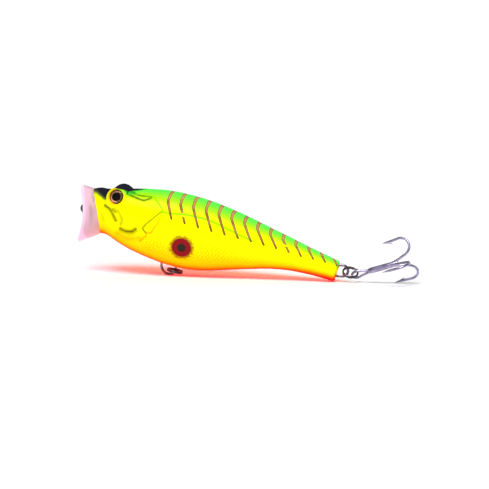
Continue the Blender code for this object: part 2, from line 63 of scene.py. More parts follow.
# Back point (x, z), belly point (x, z), half width and power of the back, at each section
STATIONS = np.array((
    (-45.2, 24.15, -43.0, 11.45, 5.9, 2.4),
    (-43.4, 24.40, -41.8, 11.25, 6.2, 2.6),
    (-41.2, 24.05, -40.2, 10.48, 6.6, 3.0),
    (-38.0, 24.15, -37.6, 8.80, 7.2, 3.5),
    (-34.0, 24.38, -34.0, 6.90, 7.7, 3.0),
    (-29.0, 24.55, -29.0, 4.85, 8.0, 2.5),
    (-23.2, 24.32, -23.2, 3.00, 8.1, 2.3),
    (-17.4, 23.35, -17.4, 1.95, 8.0, 2.3),
    (-11.6, 21.90, -11.6, 1.85, 7.6, 2.3),
    (-5.7, 19.85, -5.7, 2.30, 6.95, 2.3),
    (0.1, 17.50, 0.1, 2.75, 6.15, 2.3),
    (6.0, 14.85, 6.0, 3.05, 5.2, 2.3),
    (11.8, 12.30, 11.7, 2.80, 4.3, 2.3),
    (17.7, 9.60, 17.2, 1.95, 3.5, 2.4),
    (23.2, 7.25, 22.2, 0.80, 2.95, 2.5),
    (26.3, 5.90, 24.7, 0.05, 2.6, 2.5),
))
BELLY_POWER = 2.1
FRONT_RADIUS = 18.0             # the head's front face is this round, seen from above
FRONT_FADE = 3.0                # sections over which that roundness dies away
HEAD_SECTIONS = 6               # the head's sections, which get the finer rings
HEAD_RINGS = 180
BODY_RINGS = 284
GIRTH_POINTS = 198              # points from back to belly
WALL = 1.4
INNER_POINTS = 14               # points round the hollow's wall
HOLLOW = (-34.0, 19.5)          # where the shells are hollow
HOLLOW_FADE = 1.5
SEAM = 0.02                     # half the gap between the two shells
END_ROUND = 0.55                # rounding of the tail's end edge

BROW = (-38.4, 4.7, 0.95, 1.8, 2.0)     # x, y, height, and reach along and across
EYE = (-37.75, 5.7, 22.7)
EYE_RADIUS = 2.05
EYE_TOE_IN = math.radians(12)
EYE_LIFT = math.radians(16)
EYE_HOLE = (2.10, 2.26)         # radii between which the seat's hole ends
EYE_HOLE_DEPTH = 0.62
EYE_RIM = (2.45, 0.06, 0.22)    # radius of the raised rim, height of its foot and of its crest
EYE_LEVEL = (2.6, 3.5)          # the skin is level within the first radius
EYE_RING = (2.32, 0.38)         # radius and width of the orange ring painted round it
EYE_CLEAR = (2.75, 3.15)        # the dark crown stops between these radii

# Lines moulded in the head, as (x, z) points on the side
CROWN_LOW = ((-34.9, 23.6), (-32.6, 22.9), (-29.9, 22.05), (-28.9, 22.25), (-26.9, 23.0))
CROWN_HIGH = ((-33.8, 24.05), (-32.7, 23.6), (-30.9, 23.25), (-29.1, 23.1), (-26.9, 23.0))
GILL_BACK = ((-26.9, 23.0), (-25.2, 21.2), (-23.9, 19.4))
GILL_EDGE = ((-23.3, 19.4), (-24.5, 18.85), (-26.65, 17.0), (-28.5, 15.45), (-29.4, 14.3),
             (-29.3, 13.8), (-28.6, 13.0), (-28.05, 12.3))
FLAP_EDGE = ((-24.4, 17.4), (-25.3, 15.7), (-26.4, 14.0), (-27.15, 13.05), (-28.1, 12.9))
THROAT = ((-28.4, 12.1), (-29.4, 11.3), (-30.4, 10.4))
NICK = ((-24.25, 14.75), (-23.5, 15.0), (-23.05, 14.5))
JAW_FRONT = ((-41.4, 20.85), (-40.6, 19.9), (-39.85, 19.5), (-38.85, 18.4), (-37.9, 16.7),
             (-37.1, 15.3))
JAW_DASH = ((-39.3, 19.65), (-38.3, 18.95), (-37.0, 17.95))
JAW_BACK = ((-39.1, 19.65), (-38.0, 19.3), (-36.7, 18.4), (-36.0, 17.2), (-35.6, 16.0),
            (-36.0, 15.05), (-36.7, 14.4))
SMILE = ((-36.8, 14.15), (-35.8, 13.45), (-34.5, 13.0), (-33.1, 12.95), (-32.1, 13.4),
         (-31.0, 14.4))
LIP = ((-42.4, 19.4), (-41.75, 17.1), (-40.9, 14.6))
CHIN = ((-38.2, 12.9), (-35.2, 11.1), (-32.2, 10.85), (-29.5, 11.45))
LATERAL = ((-23.9, 18.9), (-20.4, 18.6), (-17.5, 18.5), (-14.7, 18.05), (-11.7, 17.35),
           (-8.8, 16.35), (-5.9, 15.05), (-3.0, 13.7), (-0.2, 12.45), (2.7, 11.35), (6.9, 10.2))

# Grooves: line, depth, width, ink; the painted shade beside them and its width; share that fades
# out
GROOVES = (
    (CROWN_LOW, 0.12, 0.24, 1.00, 0.55, 0.6, 0.12),
    (CROWN_HIGH, 0.08, 0.22, 0.90, 0.30, 0.5, 0.12),
    (JAW_FRONT, 0.20, 0.24, 0.70, 0.75, 0.8, 0.12),
    (JAW_BACK, 0.16, 0.26, 0.10, 0.60, 0.7, 0.12),
    (JAW_DASH, 0.08, 0.25, 0.75, 0.55, 0.6, 0.35),
    (SMILE, 0.26, 0.28, 0.75, 0.80, 1.0, 0.12),
    (LIP, 0.16, 0.38, 0.14, 0.40, 0.8, 0.4),
    (CHIN, 0.16, 0.55, 0.06, 0.36, 0.9, 0.12),
    (NICK, 0.06, 0.16, 0.40, 0.0, 0.9, 0.12),
)
# Raised plate edges: line, height, reach, which side of the line is raised, ink
LEDGES = ((GILL_EDGE, 0.13, 2.6, -1, 0.85), (FLAP_EDGE, 0.14, 0.8, 1, 0.0))
MOULDED_GIRTH = 0.80            # how far round from the back the moulded lines go
# Painted shade in soft hollows: place (x, z), width and amount
SHADED_HOLLOWS = (((-35.4, 20.3), 1.9, 0.40), ((-31.6, 14.9), 1.7, 0.45),
           ((-33.3, 12.2), 2.4, 0.30), ((-40.4, 16.6), 1.6, 0.22))
# Dark wisps behind the brow: place (x, z), length and height, and amount
WISPS = (((-35.3, 23.9), (1.3, 0.9), 0.62), ((-33.4, 24.0), (1.7, 0.7), 0.45))
# (x, value) points: how far round the girth the dark crown reaches, the height of the dark
# snout's edge, and how much higher the orange of the belly climbs
CROWN_REACH = ((-40.5, 0.24), (-37.0, 0.17), (-34.6, 0.15), (-33.0, 0.10), (-31.0, 0.06),
               (-28.5, 0.0))
SNOUT_EDGE = ((-46.0, 24.0), (-44.6, 23.75), (-43.8, 23.6), (-42.3, 22.75), (-41.3, 22.1),
              (-40.0, 21.8))
BELLY_CLIMB = ((-45, 0.055), (-33, 0.01), (-26, -0.005), (-13, 0.0), (1.5, 0.018), (8.5, 0.05),
               (15.7, 0.10), (22.8, 0.16), (26, 0.19))

RIBS = 14                       # tiger ribs on the back
RIB_FIRST = -22.05
RIB_PITCH = 3.585
RIB_KNEE = 0.215                # girth at the knee and at the middle ribs' ends
RIB_END = 0.43
RIB_GAPS = {1: (0.300, 0.330), 9: (0.305, 0.335)}

SCALE_PITCH = (0.86, 0.66)      # one scale's length and height

SPOT = (-18.25, 7.6, 8.95)      # centre of the red spot on each side
SPOT_REACH = 5.0                # distance from it at which its field is full


def catmull(table, places):
    """Values of a smooth curve through a table's rows, at fractional row numbers."""
    last = len(table) - 1
    i = np.clip(np.floor(places).astype(int), 0, last - 1)
    t = (places - i)[:, None]
    before = table[np.maximum(i - 1, 0)]
    here = table[i]
    there = table[i + 1]
    after = table[np.minimum(i + 2, last)]
    bend = 2 * before - 5 * here + 4 * there - after
    rest = 3 * here - before - 3 * there + after
    return 0.5 * (2 * here + (there - before) * t + bend * t ** 2 + rest * t ** 3)


def smooth(low, high, value):
    """A soft step: 0 at low and 1 at high, whichever of the two is the larger."""
    t = np.clip((value - low) / (high - low), 0.0, 1.0)
    return t * t * (3 - 2 * t)


def bell(value, width):
    return np.exp(-(value / width) ** 2)


def lookup(x, table):
    """Straight-line value at x from (x, value) points."""
    places, values = zip(*table)
    return np.interp(x, places, values)


def polyline(points, x, z, rounded=True):
    """Distance to a line, place along it from 0 to 1, and side: +1 left of its direction."""
    points = np.array(points, float)
    if rounded:
        steps = (len(points) - 1) * 6 + 1
        points = catmull(points, np.linspace(0, len(points) - 1, steps))
    lengths = np.linalg.norm(np.diff(points, axis=0), axis=1)
    total = lengths.sum()
    best = np.full(x.shape, 1e9)
    along = np.zeros(x.shape)
    side = np.zeros(x.shape)
    start = 0.0
    for (ax, az), (bx, bz), length in zip(points, points[1:], lengths):
        dx, dz = (bx - ax) / length, (bz - az) / length
        t = np.clip((x - ax) * dx + (z - az) * dz, 0, length)
        gap = np.hypot(x - ax - t * dx, z - az - t * dz)
        turn = dx * (z - az) - dz * (x - ax)
        near = gap < best
        best = np.where(near, gap, best)
        along = np.where(near, (start + t) / total, along)
        side = np.where(near, np.sign(turn), side)
        start += length
    return best, along, side


def section_middles(rows):
    """Each section's middle (x, z), and the step (x, z) from it up to the back."""
    return (rows[:, 0:2] + rows[:, 2:4]) / 2, (rows[:, 0:2] - rows[:, 2:4]) / 2


def base_surface():
    """The left side's smooth surface as a grid of points, and each section's values."""
    head = np.linspace(0, HEAD_SECTIONS, HEAD_RINGS, endpoint=False)
    body = np.linspace(HEAD_SECTIONS, len(STATIONS) - 1, BODY_RINGS)
    places = np.concatenate([head, body])
    rows = catmull(STATIONS, places)
    angle = np.linspace(0, math.pi, GIRTH_POINTS)
    c, s = np.cos(angle), np.sin(angle)
    power = np.where(c > 0, rows[:, 5:6], BELLY_POWER)
    high = np.sign(c) * np.abs(c) ** (2 / power)
    wide = np.abs(s) ** (2 / power)
    middle, up = section_middles(rows)
    x = middle[:, :1] + up[:, :1] * high
    z = middle[:, 1:] + up[:, 1:] * high
    y = rows[:, 4:5] * wide
    brow_x, brow_y, brow_height, along, across = BROW
    brow = np.exp(-((x - brow_x) / along) ** 2 - ((y - brow_y) / across) ** 2)
    z = z + brow_height * brow * np.maximum(high, 0)
    set_back = FRONT_RADIUS - np.sqrt(FRONT_RADIUS ** 2 - y ** 2)
    x = x + set_back * smooth(FRONT_FADE, 0.0, places[:, None])
    return np.stack([x, -y, z], -1), rows


def outward(points):
    """Unit normals of the left side's grid, pointing out of the body."""
    along = np.gradient(points, axis=0)
    around = np.gradient(points, axis=1)
    normal = np.cross(around, along)
    normal /= np.linalg.norm(normal, axis=-1, keepdims=True) + 1e-12
    middle = normal[normal.shape[0] // 2, normal.shape[1] // 2]
    return normal if middle[1] < 0 else -normal


def eye_frame(side):
    """Centre and outward direction of an eye, in millimetres."""
    centre = np.array((EYE[0], side * EYE[1], EYE[2]))
    level = math.cos(EYE_LIFT)
    out = np.array((-math.sin(EYE_TOE_IN) * level, side * math.cos(EYE_TOE_IN) * level,
                    math.sin(EYE_LIFT)))
    return centre, out


def rib_fields(x, girth, arc):
    """Distance from the nearest rib in half widths, and the place along it from back to end."""
    distance = np.full(x.shape, 9.0)
    place = np.zeros(x.shape)
    for k in range(RIBS):
        top = RIB_FIRST + RIB_PITCH * k
        # the first and last ribs are shorter, and the knees move back along the body
        knee_girth = RIB_KNEE - 0.03 * max(0, k - 10)
        end_girth = RIB_END - 0.055 * ((k - 6.5) / 6.5) ** 2 - 0.035 * max(0, k - 10)
        knee = top - 0.65 + 0.08 * k
        end = top + 0.8 + 0.04 * k + 1.0 * math.sin(math.pi * k / 13)
        here = np.abs(x - top) < 3.5
        around = float(np.median(arc[here])) if here.any() else 10.0
        line = ((top, -0.02 * around), (knee, knee_girth * around), (end, end_girth * around))
        gap, along, _ = polyline(line, x, girth * around, rounded=False)
        width = 0.52 - 0.22 * along
        if k in RIB_GAPS:
            low, high = RIB_GAPS[k]
            gap = np.where((girth > low) & (girth < high), 9.0, gap)
        near = gap / width < distance
        distance = np.where(near, gap / width, distance)
        place = np.where(near, along, place)
    return distance, place


class Relief:
    """The left side's moulded relief, with the ink in its lines and the painted shade that gathers
    in and beside them.
    """

    def __init__(self, points):
        self.x, self.z = points[..., 0], points[..., 2]
        steps = np.linalg.norm(np.diff(points, axis=1), axis=-1)
        self.arc = np.concatenate([np.zeros((len(points), 1)), np.cumsum(steps, axis=1)], 1)
        self.around = np.broadcast_to(self.arc[:, -1:], self.arc.shape)
        self.girth = self.arc / self.around
        self.moulded = self.girth < MOULDED_GIRTH
        self.height, self.ink, self.painted_shade = np.zeros((3, *self.x.shape))

    def follow(self, line, fade):
        """Distance to a line, side of it, and its strength, which fades at both ends."""
        gap, along, side = polyline(line, self.x, self.z)
        strength = smooth(0, fade, along) * smooth(0, fade, 1 - along)
        return gap, side, np.where(self.moulded, strength, 0)

    def groove(self, line, depth, width, ink, painted_shade, painted_shade_width, fade):
        gap, _, strength = self.follow(line, fade)
        self.height -= depth * bell(gap, width) * strength
        self.ink = np.maximum(self.ink, ink * bell(gap, width) * strength)
        # painted shade along the groove, wider than the groove itself
        self.painted_shade = np.maximum(self.painted_shade, painted_shade * bell(gap, painted_shade_width) * strength)

    def ledge(self, line, height, reach, raised_side, ink):
        """A plate's edge: raised on one side of the line, falling away over its reach."""
        gap, side, strength = self.follow(line, 0.08)
        signed = gap * side * raised_side
        rise = smooth(-0.28, 0.34, signed) * bell(np.maximum(signed, 0), reach)
        self.height += height * rise * strength
        self.ink = np.maximum(self.ink, ink * bell(gap, 0.27) * strength)

    # painted shade: a soft dark patch where a hollow lies in shade
    def shade_hollow(self, place, width, amount):
        away = np.hypot(self.x - place[0], (self.z - place[1]) * 1.5)
        self.painted_shade = np.maximum(self.painted_shade, amount * bell(away, width))

    def line(self, points, width):
        """A thin painted line's strength, and the place along it."""
        gap, along, _ = polyline(points, self.x, self.z)
        return bell(gap, width), along


def seat_eye(points, relief):
    """The surface with its relief, levelled round the eye into a rim with a hole for it.

    Also gives the distance from the eye's axis, and how level the skin is.
    """
    centre, out = eye_frame(-1)
    offset = points - centre
    height = offset @ out
    away = np.linalg.norm(offset - height[..., None] * out, axis=-1)
    rim_radius, rim_foot, rim_crest = EYE_RIM
    rim = rim_foot + rim_crest * bell(away - rim_radius, 0.30)
    hole = smooth(EYE_HOLE[1], EYE_HOLE[0], away)
    level = smooth(EYE_LEVEL[1], EYE_LEVEL[0], away) * (np.abs(height) < 4)
    shift = (rim * (1 - hole) - EYE_HOLE_DEPTH * hole - height) * level
    rise = relief * (1 - level)
    return points + outward(points) * rise[..., None] + out * shift[..., None], away, level


def skin(points):
    """The left side with its relief, and the named fields that its paint reads."""
    relief = Relief(points)
    x, z, girth = relief.x, relief.z, relief.girth
    for row in GROOVES:
        relief.groove(*row)
    for row in LEDGES:
        relief.ledge(*row)
    for row in SHADED_HOLLOWS:
        relief.shade_hollow(*row)
    lateral, along = relief.line(LATERAL, 0.30)
    lateral = lateral * smooth(1.0, 0.8, along) * (girth < 0.6)
    gill = relief.line(GILL_BACK, 0.22)[0] * (girth < 0.5)
    flap, throat = relief.line(FLAP_EDGE, 0.24)[0], relief.line(THROAT, 0.26)[0]
    rib, rib_place = rib_fields(x, girth, relief.around)
    relief.height -= 0.05 * lateral + 0.08 * gill + 0.07 * smooth(1.15, 0.7, rib)
    shaped, away, level = seat_eye(points, relief.height)

    black = snout_black(x, z, girth, away)
    # behind the brow the dark runs out in green over the top of the crown plate
    for (px, pz), (long, high), amount in WISPS:
        wisp = amount * bell(np.hypot((x - px) / long, (z - pz) / high), 1.0)
        black = np.maximum(black, wisp * off_the_eye(away) * (girth < 0.4))
    spot = np.linalg.norm(points - np.array((SPOT[0], -SPOT[1], SPOT[2])), axis=-1)
    belly = girth + lookup(x, BELLY_CLIMB)
    fields = {
        "girth": girth,
        # painted light: where the red belly glows
        "painted_glow": smooth(0.76, 0.94, belly) * smooth(-38.0, -28.0, x),
        "back": girth - 0.060 * np.clip((x + 20) / 42, -0.2, 1),
        "belly": belly,
        "rib": np.minimum(rib, 3.0) / 3.0,
        "rib_place": rib_place,
        "ink": relief.ink * (1 - level),
        # painted shade from the grooves and the hollows
        "shade": relief.painted_shade,
        "black": black,
        "green_line": np.maximum(lateral, gill),
        "orange_line": np.where(relief.moulded, np.maximum(flap * 0.9, throat * 0.75), 0),
        "spot": np.clip(spot / SPOT_REACH, 0, 1),
        "eye_ring": (bell(away - EYE_RING[0], EYE_RING[1]) * (1 - black)
                     * smooth(EYE[0] + 3.5, EYE[0] - 1.5, x)),
        "tail": smooth(12.0, 25.0, x),
        "scale_row": relief.arc / SCALE_PITCH[1],
        "scale_column": x / SCALE_PITCH[0],
        "scaly": smooth(-32.0, -28.0, x) * smooth(12.0, -8.0, x) * smooth(0.86, 0.74, girth),
        "snout": smooth(-36.5, -40.0, x),
    }
    return shaped, fields


def off_the_eye(eye_distance):
    """Nothing on the ring round the eye, and everything beyond it."""
    return smooth(*EYE_CLEAR, eye_distance)


def snout_black(x, z, girth, eye_distance):
    """The dark snout and crown, which stop short of the ring round the eye."""
    crown = 1 - smooth(-0.5, 0.5, (girth - lookup(x, CROWN_REACH)) / 0.13)
    crown = crown * smooth(-27.0, -33.0, x)
    # on the snout the dark runs down to the front of the eye, its edge a soft slope
    snout = smooth(-1.35, 1.05, z - lookup(x, SNOUT_EDGE))
    between = smooth(-39.0, -41.0, x)
    dark = crown * (1 - between) + snout * between
    # the crest of the brow is dark even where it comes close to the ring
    return dark * np.maximum(off_the_eye(eye_distance), smooth(0.15, 0.11, girth))


def grid_mesh(name, loops, fields, flip):
    """A closed skin from a row of equal closed loops, capped at both ends, with its fields."""
    rings, count = loops.shape[:2]
    index = np.arange(rings * count).reshape(rings, count)
    a = index[:-1]
    b = np.roll(index, -1, axis=1)[:-1]
    c = np.roll(index, -1, axis=1)[1:]
    d = index[1:]
    quads = np.stack([a, b, c, d], -1).reshape(-1, 4)
    if flip:
        quads = quads[:, ::-1]
    mesh = bpy.data.meshes.new(name)
    faces = [tuple(q) for q in quads.tolist()]
    first = index[0].tolist()
    last = index[-1].tolist()
    faces.append(tuple(first if flip else first[::-1]))
    faces.append(tuple(last[::-1] if flip else last))
    mesh.from_pydata((loops.reshape(-1, 3) * MM).tolist(), [], faces)
    mesh.shade_smooth()
    mesh.set_sharp_from_angle(angle=math.radians(45))
    mesh.update()
    obj = link(name, mesh)
    for field, values in fields.items():
        give_field(obj, field, values)
    return obj


def link(name, data):
    obj = bpy.data.objects.new(name, data)
    bpy.context.scene.collection.objects.link(obj)
    return obj


def give_field(obj, name, values):
    """Store one number for each vertex, for the material to read."""
    layer = obj.data.attributes.new(name, "FLOAT", "POINT")
    layer.data.foreach_set("value", np.asarray(values, np.float32).ravel())


def body_shells(paint):
    points, rows = base_surface()
    shaped, fields = skin(points)
    # the tail's end edge is rounded: the last rings shrink a little and the end is drawn in
    inward = np.clip(END_ROUND - (points[-1, :, 0] - points[..., 0]), 0, END_ROUND)
    shrink = END_ROUND - np.sqrt(np.maximum(END_ROUND ** 2 - inward ** 2, 0))
    shaped = shaped - outward(points) * shrink[..., None]
    # the hollow inside, as a coarse arc that flattens onto the mid plane at both ends
    angle = np.linspace(math.pi, 0, INNER_POINTS)
    open_width = smooth(HOLLOW[0], HOLLOW[0] + HOLLOW_FADE, rows[:, 0])
    open_width *= smooth(HOLLOW[1], HOLLOW[1] - HOLLOW_FADE, rows[:, 0])
    middle, up = section_middles(rows)
    inner_y = -np.maximum((rows[:, 4:5] - WALL) * open_width[:, None] * np.sin(angle), 0.0)
    inner = np.stack([middle[:, :1] + up[:, :1] * np.cos(angle), inner_y,
                      middle[:, 1:] + (up[:, 1:] - WALL) * np.cos(angle)], -1)
    loops = np.concatenate([shaped, inner], axis=1)
    loops[..., 1] = np.minimum(loops[..., 1], -SEAM)
    # the unseen inside, and the middle of the tail's end face, are plain yellow
    plain = {"girth": 0.45, "back": 0.45, "belly": 0.45, "rib": 1.0, "spot": 1.0}
    full = {}
    for name, value in fields.items():
        inside = np.full(inner.shape[:2], plain.get(name, 0.0))
        full[name] = np.concatenate([value, inside], axis=1)
    shells = {}
    for name, side in (("left", -1), ("right", 1)):
        placed = loops * np.array((1, -side, 1))
        obj = grid_mesh(f"painted_shell_{name}", placed, full, flip=side > 0)
        obj.data.materials.append(paint)
        shells[name] = obj
    return shells


# ---- sweeps and lofts

def smooth_path(points, steps):
    table = np.array(points, float)
    places = np.linspace(0, len(table) - 1, (len(table) - 1) * steps + 1)
    return catmull(table, places)


def loft(bm, rings):
    """Add a capped skin over a row of equal closed rings of points to a bmesh."""
    rows = [[bm.verts.new(p) for p in ring] for ring in rings]
    for first, second in zip(rows, rows[1:]):
        for k in range(len(first)):
            j = (k + 1) % len(first)
            bm.faces.new((first[k], first[j], second[j], second[k]))
    bm.faces.new(rows[0][::-1])
    bm.faces.new(rows[-1])


def sweep(bm, path, radii, sides=16):
    """Add a round wire along a path, with one radius or one for each point, to a bmesh."""
    points = [Vector(p) for p in path]
    last = len(points) - 1
    radii = np.broadcast_to(np.asarray(radii, float), (len(points),))
    side = None
    rings = []
    for i, point in enumerate(points):
        tangent = (points[min(i + 1, last)] - points[max(i - 1, 0)]).normalized()
        if side is None:
            side = tangent.orthogonal().normalized()
        side = (side - tangent * side.dot(tangent)).normalized()
        other = tangent.cross(side)
        ring = []
        for k in range(sides):
            a = 2 * math.pi * k / sides
            ring.append(point + (side * math.cos(a) + other * math.sin(a)) * radii[i])
        rings.append(ring)
    loft(bm, rings)


def finish_mesh(name, bm, material, sharp=50, scale=MM):
    bmesh.ops.recalc_face_normals(bm, faces=bm.faces)
    mesh = bpy.data.meshes.new(name)
    bm.to_mesh(mesh)
    bm.free()
    mesh.transform(Matrix.Scale(scale, 4))
    mesh.shade_smooth()
    mesh.set_sharp_from_angle(angle=math.radians(sharp))
    mesh.materials.append(material)
    return link(name, mesh)


def wire(name, path, radii, material, sides=18):
    bm = bmesh.new()
    sweep(bm, path, radii, sides)
    return finish_mesh(name, bm, material)


def arc(centre, radius, start, end, steps):
    angles = np.radians(np.linspace(start, end, steps + 1))
    return [(centre[0] + radius * math.cos(a), 0.0, centre[1] + radius * math.sin(a))
            for a in angles]


# ---- mouth cup

CUP_RINGS = 26
CUP_POWER = 2.2                 # how square the cup's outline is: 2 is an ellipse
RIM_TOP = (-48.7, 25.1)
RIM_BOTTOM = (-49.65, 8.6)
RIM_HALF_WIDTH = 7.4
RIM_SCOOP = 1.95
JOINT_SCOOP = 0.98
CUP_FLARE = 1.25
CHIN_FLARE = 0.85
# Along the cup from 0 to 1: place, width and height of the bead behind the lip and its groove
CUP_BEAD = (0.93, 0.05, 0.07)
CUP_GROOVE = (0.80, 0.09, -0.05)
LIP_ROUND = 0.35
CUP_WALL = 1.1
LIP_FORWARD = 0.08              # how far the lip's middle stands out
CUP_GAP = 0.08                  # the cup's visible joint with the head
SPIGOT_RADIUS = 3.2
SPIGOT_BACK = -41.2
SPIGOT_ROOT = -44.9
TIE_HOLE = (-46.6, -40.2)
TIE_CLEARANCE = 0.1
DISH_FLOOR = 1.0
DISH_FIELD = 0.30               # the field to_joint inside the dish: 1 at the joint, 0 at the rim
# Depth of each ring inside the dish, and its size
DISH_STEPS = ((0.0, 1.0), (0.20, 0.985), (0.45, 0.96), (0.66, 0.93), (0.80, 0.885),
              (0.90, 0.82), (0.96, 0.73), (0.99, 0.60), (1.0, 0.45))
TIE_Z = 18.3


def cup_ring(top, bottom, width, scoop, inset=0.0, sides=120):
    angle = np.linspace(0, 2 * math.pi, sides, endpoint=False)
    c, s = np.cos(angle), np.sin(angle)
    high = np.sign(c) * np.abs(c) ** (2 / CUP_POWER)
    wide = np.sign(s) * np.abs(s) ** (2 / CUP_POWER)
    centre = (np.array(top) + np.array(bottom)) / 2
    up = np.array(top) - centre
    up = up * (1 - inset / np.linalg.norm(up))
    x = centre[0] + up[0] * high + scoop * s ** 2
    z = centre[1] + up[1] * high
    return np.stack([x, (width - inset) * wide, z], -1)


def mouth_cup(material):
    back_x, back_z, low_x, low_z, half_width, _ = STATIONS[0]
    top_back = (back_x - CUP_GAP, back_z)
    low_back = (low_x - CUP_GAP, low_z)
    rings = []
    for t in np.linspace(0, 1, CUP_RINGS):
        flare = t ** CUP_FLARE
        bead = sum(rise * math.exp(-((t - place) / wide) ** 2)
                   for place, wide, rise in (CUP_BEAD, CUP_GROOVE))
        top = (top_back[0] + (RIM_TOP[0] - top_back[0]) * t,
               top_back[1] + (RIM_TOP[1] - top_back[1]) * flare)
        low = (low_back[0] + (RIM_BOTTOM[0] - low_back[0]) * t,
               low_back[1] + (RIM_BOTTOM[1] - low_back[1]) * t ** CHIN_FLARE)
        width = half_width + (RIM_HALF_WIDTH - half_width) * flare
        edge = LIP_ROUND * max(0.0, (t - CUP_BEAD[0]) / (1 - CUP_BEAD[0])) ** 2
        scoop = JOINT_SCOOP + (RIM_SCOOP - JOINT_SCOOP) * t
        rings.append(cup_ring(top, low, width, scoop, edge - bead))
    rim = cup_ring(RIM_TOP, RIM_BOTTOM, RIM_HALF_WIDTH, RIM_SCOOP, CUP_WALL)
    lip = cup_ring(RIM_TOP, RIM_BOTTOM, RIM_HALF_WIDTH, RIM_SCOOP, CUP_WALL * 0.6)
    lip[:, 0] -= LIP_FORWARD
    rings.append(lip)
    middle = (RIM_TOP[1] + RIM_BOTTOM[1]) / 2
    slope = (top_back[0] - low_back[0]) / (top_back[1] - low_back[1])
    for depth, spread in DISH_STEPS:
        z = middle + (rim[:, 2] - middle) * spread
        floor = low_back[0] + slope * (z - low_back[1]) - DISH_FLOOR
        rings.append(np.stack([rim[:, 0] + (floor - rim[:, 0]) * depth, rim[:, 1] * spread, z], -1))
    bm = bmesh.new()
    loft(bm, rings)
    cup = finish_mesh("cup_shell", bm, material, 60)
    outside = 1 - np.arange(CUP_RINGS) / (CUP_RINGS - 1)
    inside = np.full(len(rings) - CUP_RINGS, DISH_FIELD)
    give_field(cup, "to_joint", np.repeat(np.concatenate([outside, inside]), len(rings[0])))
    boolean(cup, (SPIGOT_BACK, SPIGOT_ROOT), SPIGOT_RADIUS, "UNION")
    boolean(cup, TIE_HOLE, WIRE + TIE_CLEARANCE, "DIFFERENCE")
    cup.data.set_sharp_from_angle(angle=math.radians(50))
    return cup


def boolean(target, ends, radius, operation):
    """Add or cut a round bar along the line tie's axis."""
    bm = bmesh.new()
    sweep(bm, [(x, 0, TIE_Z) for x in ends], radius, 48)
    tool = finish_mesh("tool", bm, target.data.materials[0])
    modifier = target.modifiers.new("shape", "BOOLEAN")
    modifier.operation = operation
    modifier.solver = "EXACT"
    modifier.object = tool
    apply_modifiers(target)
    bpy.data.objects.remove(tool, do_unlink=True)


def apply_modifiers(obj):
    bpy.context.view_layer.update()
    graph = bpy.context.evaluated_depsgraph_get()
    mesh = bpy.data.meshes.new_from_object(obj.evaluated_get(graph))
    obj.modifiers.clear()
    obj.data = mesh


# ---- eyes

FOIL_PLAY = 0.02
FOIL_BACK = -0.66
FOIL_FRONT = -0.22
FOIL_DISH = 0.12
PUPIL_HEIGHT = 0.09
DOME_HEIGHT = 0.50


def eye_disc(name, side, profile, material, sides=96):
    """A round piece on an eye's axis, from (height, radius) points, with polar fields."""
    centre, out = map(Vector, eye_frame(side))
    front = Vector((-1, 0, 0))
    front = (front - out * front.dot(out)).normalized()
    up = out.cross(front) * (1 if out.cross(front).z > 0 else -1)
    turns = [2 * math.pi * k / sides for k in range(sides)]
    spokes = [front * math.cos(a) + up * math.sin(a) for a in turns]
    bm = bmesh.new()
    loft(bm, [[centre + out * height + spoke * radius for spoke in spokes]
              for height, radius in profile])
    obj = finish_mesh(name, bm, material, 40)
    for field, direction in (("ahead", front), ("above", up)):
        give_field(obj, field, [(v.co / MM - centre).dot(direction) / EYE_RADIUS
                                for v in obj.data.vertices])
    return obj


def iris_profile():
    """A thin foil disc, pressed a little hollow, with a raised pupil."""
    edge = EYE_RADIUS - FOIL_PLAY
    rows = [(FOIL_BACK, edge), (FOIL_FRONT, edge)]
    face = edge - 0.05
    for r in np.linspace(face, 0.02, 34):
        dish = FOIL_FRONT - FOIL_DISH * (1 - (r / face) ** 2)
        rows.append((dish + PUPIL_HEIGHT * float(smooth(1.26, 1.10, r)), r))
    return rows


def dome_profile():
    """A clear lens with a thin straight edge."""
    rows = [(-0.16, EYE_RADIUS - 0.03), (-0.02, EYE_RADIUS)]
    for a in np.radians(np.linspace(6, 88, 22)):
        rows.append((DOME_HEIGHT * math.sin(a), EYE_RADIUS * math.cos(a)))
    return rows


# ---- hangers, rings and treble

WIRE = 0.38
TIE_CENTRE = (-47.8, TIE_Z)
TIE_RADIUS = 1.1
TIE_TAIL = -37.0
TIE_SWEEP = (318, -36)          # the eye's turn, in degrees, open towards its shank
BELLY_WIRE = ((-27.4, 8.0), (-25.9, 7.0), (-25.35, 5.0), (-25.3, 2.6), (-24.75, 1.15),
              (-23.3, 0.42), (-21.75, 0.8), (-21.15, 2.2), (-21.1, 5.0), (-20.6, 7.0),
              (-19.9, 8.4))
TAIL_LOOP = (27.15, 3.3, 1.6)    # centre and radius
TAIL_ANCHOR = 21.4
BELLY_PIVOT = (-23.35, 1.75)
BELLY_RING_PITCH = math.radians(12)
TAIL_RING_CENTRE = (29.45, 2.9)
TAIL_RING_PITCH = math.radians(14)
TAIL_RING_ROLL = math.radians(30)
RING_RADIUS = 2.0
COIL_WIRE = 0.225
COIL_STEPS = 150
COIL_TURN = 4 * math.pi - 0.30  # a little short of two whole turns
COIL_OUT = 0.14                 # how far the coil's middle stands outside the plain ring
COIL_LIFTS = (0.12, 0.20)       # how far its first and last end stand off
BELLY_COIL_START = math.radians(60)
TAIL_COIL_START = math.radians(70)
HOOK_PITCH = math.radians(18)
HOOK_YAW = math.radians(-4)
HOOK_ROLL = math.radians(17)
HOOK_TWIST = math.radians(38)    # how far the first hook is turned from the plane of the eye
HOOK_WIRE = 0.36
HOOK_EYE = (1.5, 1.0)
HOOK_EYE_SWEEP = (52, 308)
EYE_LEGS = ((-0.1, 0.30), (2.0, 0.28))  # along from the braze's start, and off the axis
BRAZE_START = 3.6
SHANK_END = 11.6
